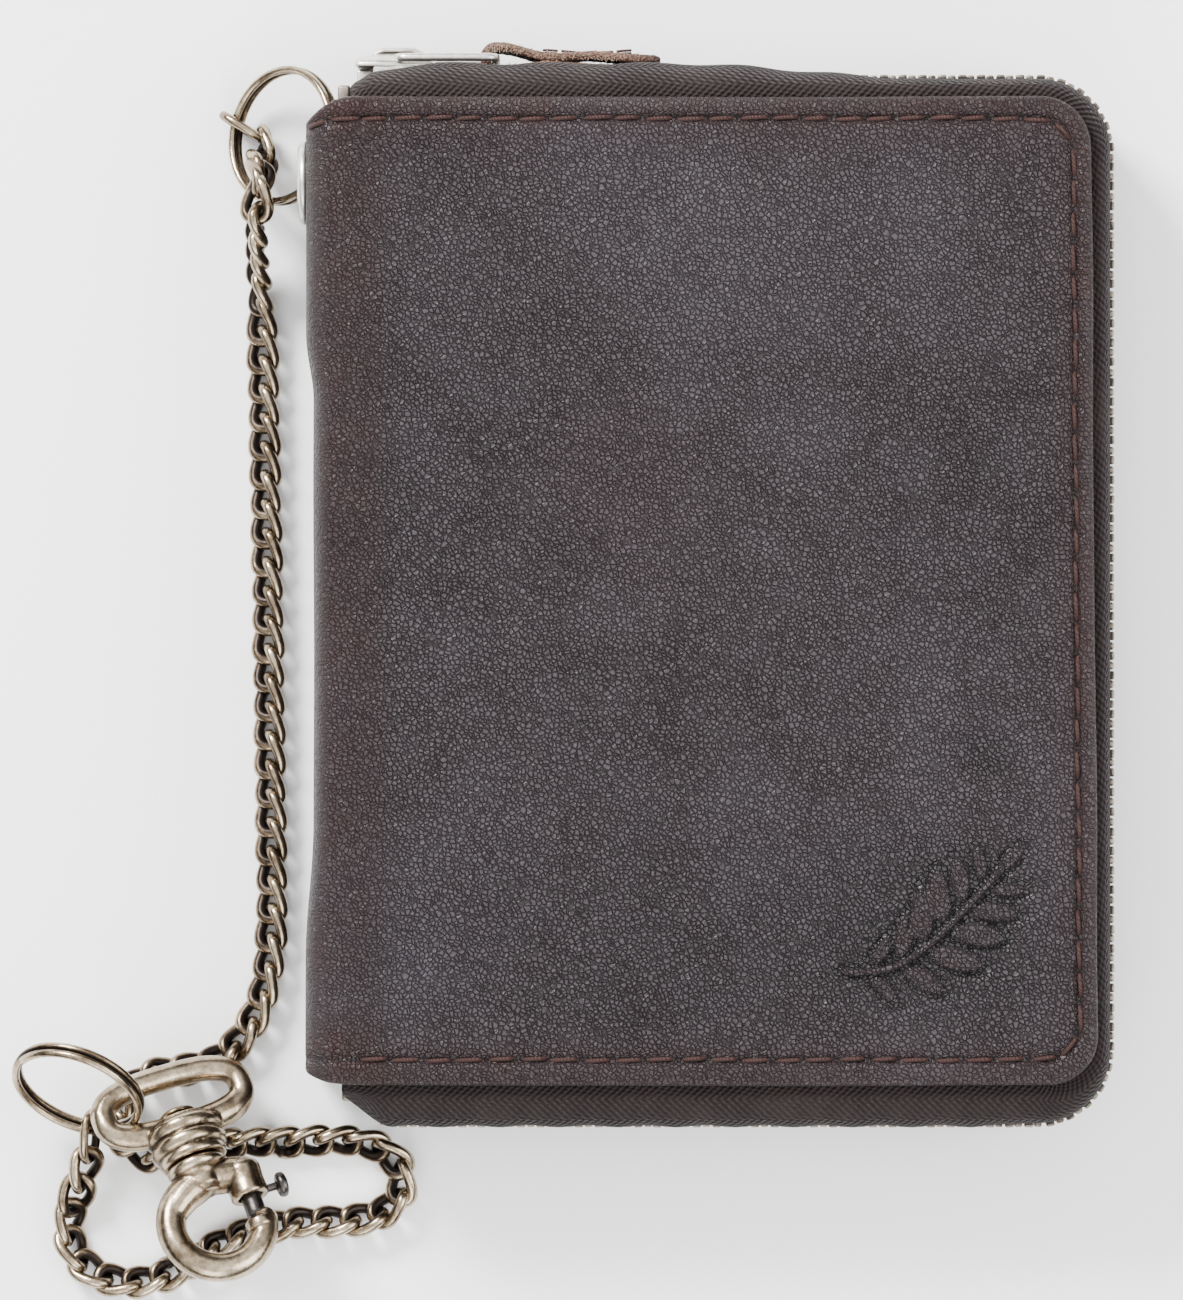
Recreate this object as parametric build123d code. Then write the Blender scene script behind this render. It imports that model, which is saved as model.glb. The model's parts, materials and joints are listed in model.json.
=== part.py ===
from build123d import *
import math
import os

os.makedirs("parts", exist_ok=True)

# ---------------------------------------------------------------- driving dimensions (mm)
# A zip-around leather wallet lying on its back cover, with a curb chain and a swivel bolt snap.
# +Z up through the thickness, +X away from the spine, +Y towards the slider end of the zip.
OX, OY = 0.265, -2.175           # puts the wallet's own box centre on the Z axis
X_SPINE = -48.1               # outer face of the spine
X_FOLD = -46.6                # where the flat covers start, inside the fold
X_R = 45.4                    # free edge of the covers
Y_B, Y_T = -57.0, 60.0        # lower and upper edges of the covers
T_ALL = 22.0                  # closed thickness
T_LEATHER = 1.4               # cover leather
T_BOARD = 0.8                 # stiffener board
T_LINING = 0.6                # lining
T_SPINE = 1.2                 # spine leather
R_CORNER = 6.0                # free corners of the covers
TAPE_T = 0.8                  # zip tape
TAPE_R = 47.3                 # outer face of the tape on the long side
TAPE_T_Y = 62.3               # outer face of the tape at the slider end
TAPE_B_Y = -61.6              # outer face of the tape at the far end
TAPE_X0 = -44.8               # where the tapes end, beside the spine
TAPE_CORNER = 8.5
TAPE_LOW = (1.6, 9.6)         # back tape wall, z from and to
TAPE_HIGH = (12.4, 20.4)      # front tape wall
TOOTH_PITCH = 2.33            # number 5 metal zip
TOOTH_W, TOOTH_D = 1.0, 2.4   # along and across the tape
WIRE_RING = 0.47               # split ring wire radius, two coils
RING_R = 7.95                 # split ring, middle of the wire
COIL_H = 0.5                 # half the distance between the two coils
LINK_R = 0.55                 # chain link wire radius
LINK_P = 3.5                  # chain pitch
LINK_L, LINK_W = 2.42, 1.5    # half length and half width of a link's centreline
END_L, END_W = 2.9, 2.0       # the larger end links
EYE_A, EYE_B, EYE_R = 8.6, 3.4, 1.6   # swivel eye: centreline half sizes, wire radius
BARREL_R = 4.7                # swivel barrel
HOOK_R, HOOK_WIRE = 5.6, 1.75 # hook loop centreline radius, wire radius


def put(name, shape):
    s = Pos(OX, OY, 0) * shape
    export_step(s, "parts/" + name + ".step")
    vol = sum(x.volume for x in s.solids())
    print(f"{name:24s} solids {len(s.solids()):4d} volume {vol:10.2f}")


def slab(x0, x1, y0, y1, z0, z1, rl=0.0, rr=0.0):
    sk = Pos((x0 + x1) / 2, (y0 + y1) / 2) * Rectangle(x1 - x0, y1 - y0)
    vs = sk.vertices().sort_by(Axis.X)
    if rr > 0:
        sk = fillet(vs[2:4], rr)
        vs = sk.vertices().sort_by(Axis.X)
    if rl > 0:
        sk = fillet(vs[0:2], rl)
    return Pos(0, 0, z0) * extrude(sk, z1 - z0)


def blk(x0, x1, y0, y1, z0, z1):
    return Pos((x0 + x1) / 2, (y0 + y1) / 2, (z0 + z1) / 2) * Box(x1 - x0, y1 - y0, z1 - z0)


def frame(o, zd, xd):
    return Plane(origin=o, x_dir=xd, z_dir=zd)


# ---------------------------------------------------------------- small vector helpers
def add(a, b, s=1.0):
    return (a[0] + b[0] * s, a[1] + b[1] * s, a[2] + b[2] * s)


def sub(a, b):
    return (a[0] - b[0], a[1] - b[1], a[2] - b[2])


def dot(a, b):
    return a[0] * b[0] + a[1] * b[1] + a[2] * b[2]


def cross(a, b):
    return (a[1] * b[2] - a[2] * b[1], a[2] * b[0] - a[0] * b[2], a[0] * b[1] - a[1] * b[0])


def unit(a):
    n = math.sqrt(dot(a, a))
    return (a[0] / n, a[1] / n, a[2] / n)


def comb(c, *pairs):
    for v, s in pairs:
        c = add(c, v, s)
    return c


# ---------------------------------------------------------------- covers, boards, linings
Z_F0 = T_ALL - T_LEATHER
put("back_cover", slab(X_FOLD, X_R, Y_B, Y_T, 0, T_LEATHER, 1.5, R_CORNER))
put("front_cover", slab(X_FOLD, X_R, Y_B, Y_T, Z_F0, T_ALL, 1.5, R_CORNER))
put("back_board", slab(-44.5, 41.2, -53.0, 56.0, 1.5, 1.5 + T_BOARD, 1.5, 4))
put("front_board", slab(-44.5, 41.2, -53.0, 56.0, 20.5 - T_BOARD, 20.5, 1.5, 4))
put("back_lining", slab(-44.8, 44.6, -56.6, 59.4, 2.5, 2.5 + T_LINING, 1.5, 5))
put("front_lining", slab(-44.8, 44.6, -56.6, 59.4, 18.9, 18.9 + T_LINING, 1.5, 5))

# ---------------------------------------------------------------- ring 1 placement, needed for the eyelet
M1 = (0.1668, 0.9860, 0.0)                     # the ring's long direction on the table
A1 = math.radians(41.7)                        # lean of the ring
H1 = (0.9860, -0.1668, 0.0)
N1 = comb((0, 0, 0), (H1, math.cos(A1)), ((0, 0, 1), math.sin(A1)))
K1 = cross(M1, N1)
C1 = (-51.07, 56.07, 8.0)


def ring1(t, r=RING_R):
    return comb(C1, (M1, r * math.cos(t)), (N1, r * math.sin(t)))


X_WALL = X_SPINE + T_SPINE / 2
cross_t = []
for k in range(3600):
    t0, t1 = math.radians(k / 10), math.radians((k + 1) / 10)
    if (ring1(t0)[0] - X_WALL) * (ring1(t1)[0] - X_WALL) <= 0:
        cross_t.append(t0)
PA, PB = ring1(cross_t[0]), ring1(cross_t[1])
GR = PA if PA[1] < PB[1] else PB
EDGE = PB if PA[1] < PB[1] else PA
print("ring 1 crosses the spine at", [round(v, 3) for v in GR], "and passes its end at", [round(v, 3) for v in EDGE])
print("in the row frame", [round((GR[0] + OX) / 1000, 5), round((GR[1] + OY) / 1000, 5), round(GR[2] / 1000, 5)])
AX1 = unit(sub(EDGE, GR))
print("ring swing axis", [round(v, 5) for v in AX1])

# ---------------------------------------------------------------- spine with its eyelet hole
GY, GZ = GR[1], GR[2]
spine = blk(X_SPINE, X_SPINE + T_SPINE, Y_B + 0.3, Y_T - 0.3, 0.0, 20.4)
spine = fillet(spine.edges().filter_by(Axis.Y).group_by(Axis.Z)[0].sort_by(Axis.X)[0], 1.0)
hole = Pos(X_WALL, GY, GZ) * Rot(0, 90, 0) * Cylinder(3.7, 8)
put("spine", spine - hole)
lin = blk(X_SPINE + T_SPINE + 0.15, X_SPINE + T_SPINE + 0.55, -55.0, 44.0, 3.2, 18.8)
put("spine_lining", lin)

# eyelet: an outer half with its tube, and a washer pressed on inside
ey = Pos(X_SPINE - 0.28, GY, GZ) * Rot(0, 90, 0) * Cylinder(3.95, 0.5)
tube = Pos(X_WALL + 0.0, GY, GZ) * Rot(0, 90, 0) * Cylinder(3.6, T_SPINE + 0.8)
bore = Pos(X_WALL, GY, GZ) * Rot(0, 90, 0) * Cylinder(3.32, 8)
put("eyelet", (ey + tube) - bore)
wa = Pos(X_SPINE + T_SPINE + 0.26, GY, GZ) * Rot(0, 90, 0) * Cylinder(4.15, 0.42)
put("eyelet_washer", wa - Pos(X_WALL, GY, GZ) * Rot(0, 90, 0) * Cylinder(3.65, 8))


# ---------------------------------------------------------------- zip: tapes, teeth, stops
def u_region(off, x0=TAPE_X0):
    """Area inside the tape's outer face, moved in by off, right of x0."""
    xr, yt, yb = TAPE_R - off, TAPE_T_Y - off, TAPE_B_Y + off
    sk = Pos((x0 - 20 + xr) / 2, (yt + yb) / 2) * Rectangle(xr - x0 + 20, yt - yb)
    vs = sk.vertices().sort_by(Axis.X)
    sk = fillet(vs[2:4], TAPE_CORNER - off)
    return sk & (Pos((x0 + 100) / 2, 0) * Rectangle(100 - x0, 300))


def tape(zlo, zhi, zfl0, zfl1):
    wall = Pos(0, 0, zlo) * extrude(u_region(0) - u_region(TAPE_T), zhi - zlo)
    rim = u_region(0.1) - (Pos((TAPE_X0 - 5 + 41.5) / 2, 1.5) * Rectangle(41.5 - TAPE_X0 + 5, 109.6))
    fl = Pos(0, 0, zfl0) * extrude(rim, zfl1 - zfl0)
    s = wall + fl
    return s


put("zip_tape_back", tape(TAPE_LOW[0], TAPE_LOW[1], 1.6, 2.3))
put("zip_tape_front", tape(TAPE_HIGH[0], TAPE_HIGH[1], 19.7, 20.4))

MID = TAPE_T / 2
XR, YT, YB = TAPE_R - MID, TAPE_T_Y - MID, TAPE_B_Y + MID
RC = TAPE_CORNER - MID
SEGS = [("l", (TAPE_X0, YT), (XR - RC, YT)), ("a", (XR - RC, YT - RC), 90, 0),
        ("l", (XR, YT - RC), (XR, YB + RC)), ("a", (XR - RC, YB + RC), 0, -90),
        ("l", (XR - RC, YB), (TAPE_X0, YB))]


def along(s):
    """Point and tangent angle on the tape's middle line, s from the slider end."""
    for g in SEGS:
        if g[0] == "l":
            (ax, ay), (bx, by) = g[1], g[2]
            n = math.hypot(bx - ax, by - ay)
            if s <= n:
                return ax + (bx - ax) * s / n, ay + (by - ay) * s / n, math.degrees(math.atan2(by - ay, bx - ax))
        else:
            n = RC * math.pi / 2
            if s <= n:
                a = math.radians(g[2] + (g[3] - g[2]) * s / n)
                return g[1][0] + RC * math.cos(a), g[1][1] + RC * math.sin(a), math.degrees(a) - 90
        s -= n
    return None


TOTAL = (XR - RC - TAPE_X0) * 2 + (YT - YB - 2 * RC) + RC * math.pi
TOOTH_FROM = 8.3
N_TEETH = int((TOTAL - TOOTH_FROM - 3.0) / TOOTH_PITCH)
print("zip length", round(TOTAL, 1), "teeth a row", N_TEETH)

g = 0.06
hw = TAPE_T / 2 + g
low_z = TAPE_LOW[1]
# profile in (across, z): a head that meshes, and two legs that grip the tape
prof = Polyline((-hw, low_z - 1.1), (-hw, low_z + g), (hw, low_z + g), (hw, low_z - 1.1), (TOOTH_D / 2, low_z - 1.1),
                (TOOTH_D / 2, low_z + 2.25), (-TOOTH_D / 2, low_z + 2.25), (-TOOTH_D / 2, low_z - 1.1), close=True)
tooth = extrude(Plane.YZ * make_face(prof), TOOTH_W / 2, both=True)
mirror_z = 11.0
tooth_hi = mirror(tooth, Plane(origin=(0, 0, mirror_z), z_dir=(0, 0, 1)))
low, high = [], []
for i in range(N_TEETH):
    for row, lst, tt in ((0.0, low, tooth), (0.5, high, tooth_hi)):
        x, y, a = along(TOOTH_FROM + (i + row) * TOOTH_PITCH)
        lst.append(Pos(x, y, 0) * Rot(0, 0, a) * tt)
put("zip_teeth_back", Compound(children=low))
put("zip_teeth_front", Compound(children=high))
stops = []
xs, ys, as_ = along(1.1)
for z0, z1, c0, c1 in ((low_z - 1.3, low_z + 0.7, low_z - 2, low_z + g), (12.4 - 0.7, 12.4 + 1.3, 12.4 - g, 14.4)):
    b = blk(xs - 0.7, xs + 0.7, ys - 0.9, ys + 0.9, z0, z1) - blk(xs - 2, xs + 2, ys - hw, ys + hw, c0, c1)
    stops.append(b)
put("zip_top_stop_back", stops[0])
put("zip_top_stop_front", stops[1])
xb, yb, ab = along(TOTAL - 1.6)
bs = blk(xb - 0.8, xb + 0.8, yb - 1.1, yb + 1.1, 8.4, 13.6)
bs = bs - blk(xb - 2, xb + 2, yb - hw, yb + hw, 8.0, low_z + g) - blk(xb - 2, xb + 2, yb - hw, yb + hw, 12.4 - g, 14)
put("zip_bottom_stop", bs)

# ---------------------------------------------------------------- slider, puller wire, leather pull tab
SX0, SX1 = -42.6, -32.6
SY = YT
Z0, Z1 = 6.9, 15.1
outer = blk(SX0, SX1, SY + 1.5, SY + 2.5, Z0, Z1)
outer = fillet(outer.edges().filter_by(Axis.Y), 2.2)
inner = blk(SX0, SX1, SY - 2.5, SY - 1.5, Z0, Z1)
inner = fillet(inner.edges().filter_by(Axis.Y), 2.2)
sl = outer + inner
for zz in ((Z0, Z0 + 0.8), (Z1 - 0.8, Z1)):
    sl = sl + blk(SX0 + 2.6, SX1 - 2.2, SY + 0.75, SY + 1.7, zz[0], zz[1])
    sl = sl + blk(SX0 + 2.6, SX1 - 2.2, SY - 1.7, SY - 0.75, zz[0], zz[1])
sl = sl + blk(SX0 + 0.3, SX0 + 2.6, SY - 1.7, SY + 1.7, 10.1, 11.9)
CRX = -37.2
sl = sl + blk(CRX - 2.9, CRX - 1.6, SY + 2.3, SY + 4.4, 9.6, 12.4)
sl = sl + blk(CRX + 1.6, CRX + 2.9, SY + 2.3, SY + 4.4, 9.6, 12.4)
sl = sl + blk(CRX - 2.9, CRX + 2.9, SY + 3.75, SY + 4.4, 9.6, 12.4)
put("slider", sl)
PW = 0.5
PY = SY + 3.1
PX1 = -25.6
pz0, pz1 = 6.3, 15.7
pr = FilletPolyline((CRX, PY, pz0), (PX1, PY, pz0), (PX1, PY, pz1), (CRX, PY, pz1), radius=1.0, close=True)
es = Wire(pr.edges()).order_edges()
h = len(es) // 2
pull = None
for grp in (es[:h], es[h:]):
    w = Wire(grp)
    s = sweep(Plane(origin=w @ 0, z_dir=w % 0) * Circle(PW), path=w)
    pull = s if pull is None else pull + s
put("puller_wire", pull)
print("puller axis at", round((CRX + OX) / 1000, 5), round((PY + OY) / 1000, 5), "tab axis x", round((PX1 + OX) / 1000, 5))
# the strap is folded round the far bar and sewn to itself
ro, ri = 1.75, 0.62
tip = -6.0
strap = Pos(PX1, PY) * Circle(ro)
strap += make_face(Polyline((PX1, PY + ro), (PX1 + 5.5, PY + 1.25), (tip, PY + 1.0), (tip, PY - 1.6), (PX1 + 5.5, PY - 1.5), (PX1, PY - ro), close=True))
strap -= Pos(PX1, PY) * Circle(ri)
strap -= make_face(Polyline((PX1, PY + ri * 0.98), (PX1 + 4.6, PY - 0.05), (PX1 + 4.6, PY - 0.15), (PX1, PY - ri * 0.98), close=True))
strap -= make_face(Polyline((PX1 + 4.0, PY - 0.02), (tip + 1, PY - 0.24), (tip + 1, PY - 0.36), (PX1 + 4.0, PY - 0.16), close=True))
tab = Pos(0, 0, 7.6) * extrude(strap, 6.8)
put("pull_tab", tab)

# ---------------------------------------------------------------- inside: pockets on both boards
put("note_pocket", slab(-43.5, 43.5, -54.0, 40.0, 3.3, 3.8, 0.8, 3) + blk(-43.5, 43.5, -54.0, -53.4, 3.15, 3.7) )
cards = []
for i in range(4):
    y1 = 30.0 - 11.0 * i
    cards.append(slab(-41.5, 41.5, -52.5, y1, 3.95 + 0.55 * i, 4.4 + 0.55 * i, 0.6, 2.0))
put("card_slots_back", Compound(children=cards))
cards = []
for i in range(4):
    y1 = 30.0 - 11.0 * i
    cards.append(slab(-40.0, 40.0, -52.5, y1, 18.25 - 0.55 * i, 18.7 - 0.55 * i, 0.6, 2.0))
put("card_slots_front", Compound(children=cards))
put("id_window", slab(-32.0, 32.0, -46.0, -8.0, 16.15, 16.4, 1.0, 1.0))
# centre pocket: two leaves joined round three sides, open towards +Y
put("centre_pocket", slab(-38.0, 38.0, -52.0, 24.0, 6.3, 9.3, 2, 2) - slab(-37.2, 37.2, -51.2, 25.0, 6.9, 8.7, 1.5, 1.5))


# ---------------------------------------------------------------- wire loops
def wire_loop(path, r):
    es = Wire(path.edges()).order_edges()
    n = len(es) // 2
    out = None
    for grp in (es[:n], es[n:]):
        w = Wire(grp)
        s = sweep(Plane(origin=w @ 0, z_dir=w % 0) * Circle(r), path=w)
        out = s if out is None else out + s
    return out


def oval(L, W, r):
    path = FilletPolyline((L, W, 0), (-L, W, 0), (-L, -W, 0), (L, -W, 0), radius=W - 0.02, close=True)
    return wire_loop(path, r)


def split_ring(c, m, n, R):
    k = cross(m, n)
    out = []
    for s in (COIL_H, -COIL_H):
        o = add(c, k, s)
        out.append(Plane(origin=o, x_dir=m, z_dir=k) * Torus(R, WIRE_RING))
    return Compound(children=[x.solids()[0] if hasattr(x, "solids") else x for x in out])


put("ring_wallet", split_ring(C1, M1, N1, RING_R))

# ---------------------------------------------------------------- chain
# control points of the chain's middle line: x, y, z
ROUTE = [(-53.60, 57.00, 2.75), (-53.65, 54.20, 2.9), (-53.8, 52.6, 6.6), (-54.0, 50.8, 10.6), (-54.2, 47.0, 11.2),
         (-54.3, 43.4, 8.0), (-54.2, 39.6, 3.6), (-53.9, 34.6, 1.9), (-53.7, 27.0, 1.8),
         (-53.5, 16.0, 1.8), (-53.2, 3.0, 1.8), (-53.0, -13.0, 1.8), (-52.8, -27.0, 1.8),
         (-52.6, -38.0, 1.8), (-53.2, -45.5, 1.8), (-55.2, -51.0, 1.8), (-58.9, -55.0, 1.8), (-63.6, -56.2, 1.8),
         (-68.4, -56.6, 1.8), (-71.4, -60.2, 1.8), (-70.9, -64.8, 1.8), (-67.0, -67.2, 1.8),
         (-62.0, -65.9, 1.8), (-56.5, -64.6, 1.8), (-50.5, -64.8, 1.8), (-44.6, -64.3, 1.8), (-39.0, -65.2, 1.8),
         (-36.2, -69.2, 1.8), (-38.6, -73.4, 1.8), (-43.8, -74.4, 1.8), (-49.4, -74.2, 1.8), (-54.8, -75.4, 1.8),
         (-59.6, -77.2, 1.8), (-64.0, -80.4, 1.8), (-69.4, -82.0, 1.8), (-74.8, -80.6, 1.8), (-77.4, -76.6, 1.8),
         (-76.8, -72.4, 2.4), (-75.3, -69.0, 4.0)]


def bspline2(P, n=24):
    """Points on the clamped quadratic B-spline with control points P."""
    m = len(P) - 1
    out = []
    for i in range(m - 1):
        a = P[i] if i == 0 else tuple((P[i][k] + P[i + 1][k]) / 2 for k in range(3))
        b = P[i + 1]
        c = P[i + 2] if i == m - 2 else tuple((P[i + 1][k] + P[i + 2][k]) / 2 for k in range(3))
        for j in range(n + (1 if i == m - 2 else 0)):
            t = j / n
            out.append(tuple((1 - t) ** 2 * a[k] + 2 * t * (1 - t) * b[k] + t * t * c[k] for k in range(3)))
    return out


def at(s):
    s = max(0.0, min(CH_LEN, s))
    lo, hi = 0, len(acc) - 1
    while hi - lo > 1:
        md = (lo + hi) // 2
        if acc[md] <= s:
            lo = md
        else:
            hi = md
    f = (s - acc[lo]) / (acc[hi] - acc[lo])
    return tuple(line[lo][k] + (line[hi][k] - line[lo][k]) * f for k in range(3))


link = oval(LINK_L, LINK_W, LINK_R)
end_link = oval(END_L, END_W, LINK_R)


def place(solid, c, xdir, roll):
    x = unit(xdir)
    side = unit(cross((0, 0, 1), x))
    up = cross(x, side)
    a = math.radians(roll)
    y = comb((0, 0, 0), (side, math.cos(a)), (up, math.sin(a)))
    z = cross(x, y)
    return Plane(origin=c, x_dir=x, z_dir=z) * solid


# ring 2 hangs in the swivel eye; the chain's last link hangs on ring 2
U2 = unit((0.790, -0.533, -0.303))
V2 = (0.537, 0.362, 0.762)
V2 = unit(comb(V2, (U2, -dot(U2, V2))))
C2 = (-75.476, -57.903, 11.342)
RING2_R = 7.7
F2 = math.radians(-47)
P2 = comb(C2, (U2, RING2_R * math.cos(F2)), (V2, RING2_R * math.sin(F2)))
T2 = unit(comb((0, 0, 0), (U2, -math.sin(F2)), (V2, math.cos(F2))))
A2 = (-0.06, -0.95, -0.30)
A2 = unit(comb(A2, (T2, -dot(A2, T2))))
ROUTE.append(add(P2, A2, 2.95))
line = bspline2(ROUTE)
acc = [0.0]
for i in range(1, len(line)):
    acc.append(acc[-1] + math.dist(line[i - 1], line[i]))
CH_LEN = acc[-1]
print("route end", [round(v, 3) for v in ROUTE[-1]])

n_links = int(round((CH_LEN - 2 * LINK_L) / LINK_P)) + 1
pitch = (CH_LEN - 2 * LINK_L) / (n_links - 1)
links = []
for k in range(n_links):
    s = LINK_L + k * pitch
    p, q = at(s - LINK_P / 2), at(s + LINK_P / 2)
    c = at(s)
    c = tuple(c[i] * 0.5 + (p[i] + q[i]) * 0.25 for i in range(3))
    left = n_links - 1 - k
    if (n_links - 1) % 2 == 0:
        extra = min(45, 9 * k, 9 * left)
    else:
        extra = 90 - 9 * left if left < 5 else min(45, 9 * k)
    links.append((s, c, sub(q, p), (0 if k % 2 == 0 else 90) + extra))
print("chain length", round(CH_LEN, 1), "links", len(links), "pitch", round(pitch, 3))
last_link = Plane(origin=add(P2, A2, 1.15), x_dir=A2, z_dir=T2) * end_link
# the end link round ring 1
T85 = math.radians(-85)
R85 = ring1(T85)
AE = unit((0.85, -0.53, 0.0))
cE = add(R85, AE, 0.9)
first = place(end_link, (cE[0], cE[1], max(cE[2], 2.62)), AE, 90)
print("end link centre", [round(v, 2) for v in cE])
spans = {"chain_end_link": [first], "chain_run": [], "chain_under_snap": [], "chain_loop": [], "chain_tail": []}
for (s, c, d, roll) in links:
    key = "chain_run" if s < 114 else "chain_under_snap" if s < 152 else "chain_loop" if s < 200 else "chain_tail"
    spans[key].append(place(link, c, d, roll))
spans["chain_end_link_snap"] = [last_link]
for kx, v in spans.items():
    put(kx, Compound(children=v) if len(v) > 1 else v[0])

# ---------------------------------------------------------------- ring 2, swivel eye, hook, bolt
put("ring_snap", split_ring(C2, U2, V2, RING2_R))

D = unit((0.347, -0.860, 0.375))
L_E = unit((0.930, 0.264, -0.2545))
L_E = unit(comb(L_E, (D, -dot(L_E, D))))
N_E = cross(L_E, D)
E0 = (-63.2, -62.6, 9.4)
EC = add(E0, D, -EYE_B)
eye = Plane(origin=EC, x_dir=L_E, z_dir=N_E) * oval(EYE_A, EYE_B, EYE_R)


def rev(r, s0, s1):
    """Cylinder on the swivel axis from s0 to s1."""
    return Plane(origin=add(E0, D, (s0 + s1) / 2), x_dir=L_E, z_dir=D) * Cylinder(r, s1 - s0)


barrel = rev(4.0, -0.6, 4.4)
for (c_, r_) in ((0.75, BARREL_R), (2.55, BARREL_R), (4.0, 4.15)):
    barrel = barrel + rev(r_, c_ - 0.7, c_ + 0.7)
eye = eye + barrel
eye = eye - rev(1.75, -4.0, 8.0) - rev(2.6, -4.6, -1.0)
put("swivel_eye", eye)
print("swivel axis point", [round((E0[0] + OX) / 1000, 5), round((E0[1] + OY) / 1000, 5), round(E0[2] / 1000, 5)], "dir", [round(v, 5) for v in D])


def hp(x, s):
    return comb(E0, (L_E, x), (D, s))


# hook: stem with its rivet head, collar, neck, loop and bolt housing
HC = 13.0
hook = rev(1.65, -2.2, 5.2) + rev(2.3, -2.2, -1.35) + rev(3.7, 4.85, 6.2) + rev(2.7, 6.0, 8.2)
arc = CenterArc((0, 0, 0), HOOK_R, 15, 233)
secp = Plane(origin=arc @ 0, z_dir=arc % 0)
loop = sweep(secp * Circle(HOOK_WIRE), path=Wire([arc.edge()]))
loop = Plane(origin=hp(0, HC), x_dir=L_E, z_dir=N_E) * loop
hook = hook + loop
bx = 4.9
house = Plane(origin=hp(bx, (6.4 + 11.0) / 2), x_dir=L_E, z_dir=D) * Cylinder(2.35, 4.6)
bridge = Plane(origin=hp(0.9, 7.6), x_dir=L_E, z_dir=D) * Box(9.6, 3.4, 2.6)
brace = Plane(origin=hp(-1.6, 8.0), x_dir=L_E, z_dir=D) * Box(4.0, 3.3, 2.4)
tipb = Plane(origin=hp(bx, 14.6), x_dir=L_E, z_dir=D) * Cylinder(1.75, 1.5)
hook = hook + bridge + brace + house + tipb
inner_b = Plane(origin=hp(bx, 9.6), x_dir=L_E, z_dir=D) * Cylinder(1.45, 4.6)
slot = Plane(origin=hp(bx + 2.2, 9.75), x_dir=L_E, z_dir=D) * Box(3.2, 1.3, 3.7)
hook = hook - inner_b - slot
put("hook", hook)
bolt = Plane(origin=hp(bx, (9.3 + 13.6) / 2), x_dir=L_E, z_dir=D) * Cylinder(1.25, 4.3)
stem = Plane(origin=hp(bx + 2.1, 10.5), x_dir=D, z_dir=L_E) * Cylinder(0.5, 3.6)
knob = Plane(origin=hp(bx + 4.0, 10.5), x_dir=D, z_dir=L_E) * Cylinder(1.5, 1.2)
put("bolt", bolt + stem + knob)
spring = Plane(origin=hp(bx, 8.3), x_dir=L_E, z_dir=D) * (Cylinder(1.2, 1.7) - Cylinder(0.8, 3))
put("bolt_spring", spring)
print("bolt dir", [round(-v, 5) for v in D])
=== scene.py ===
import math
import json

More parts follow.
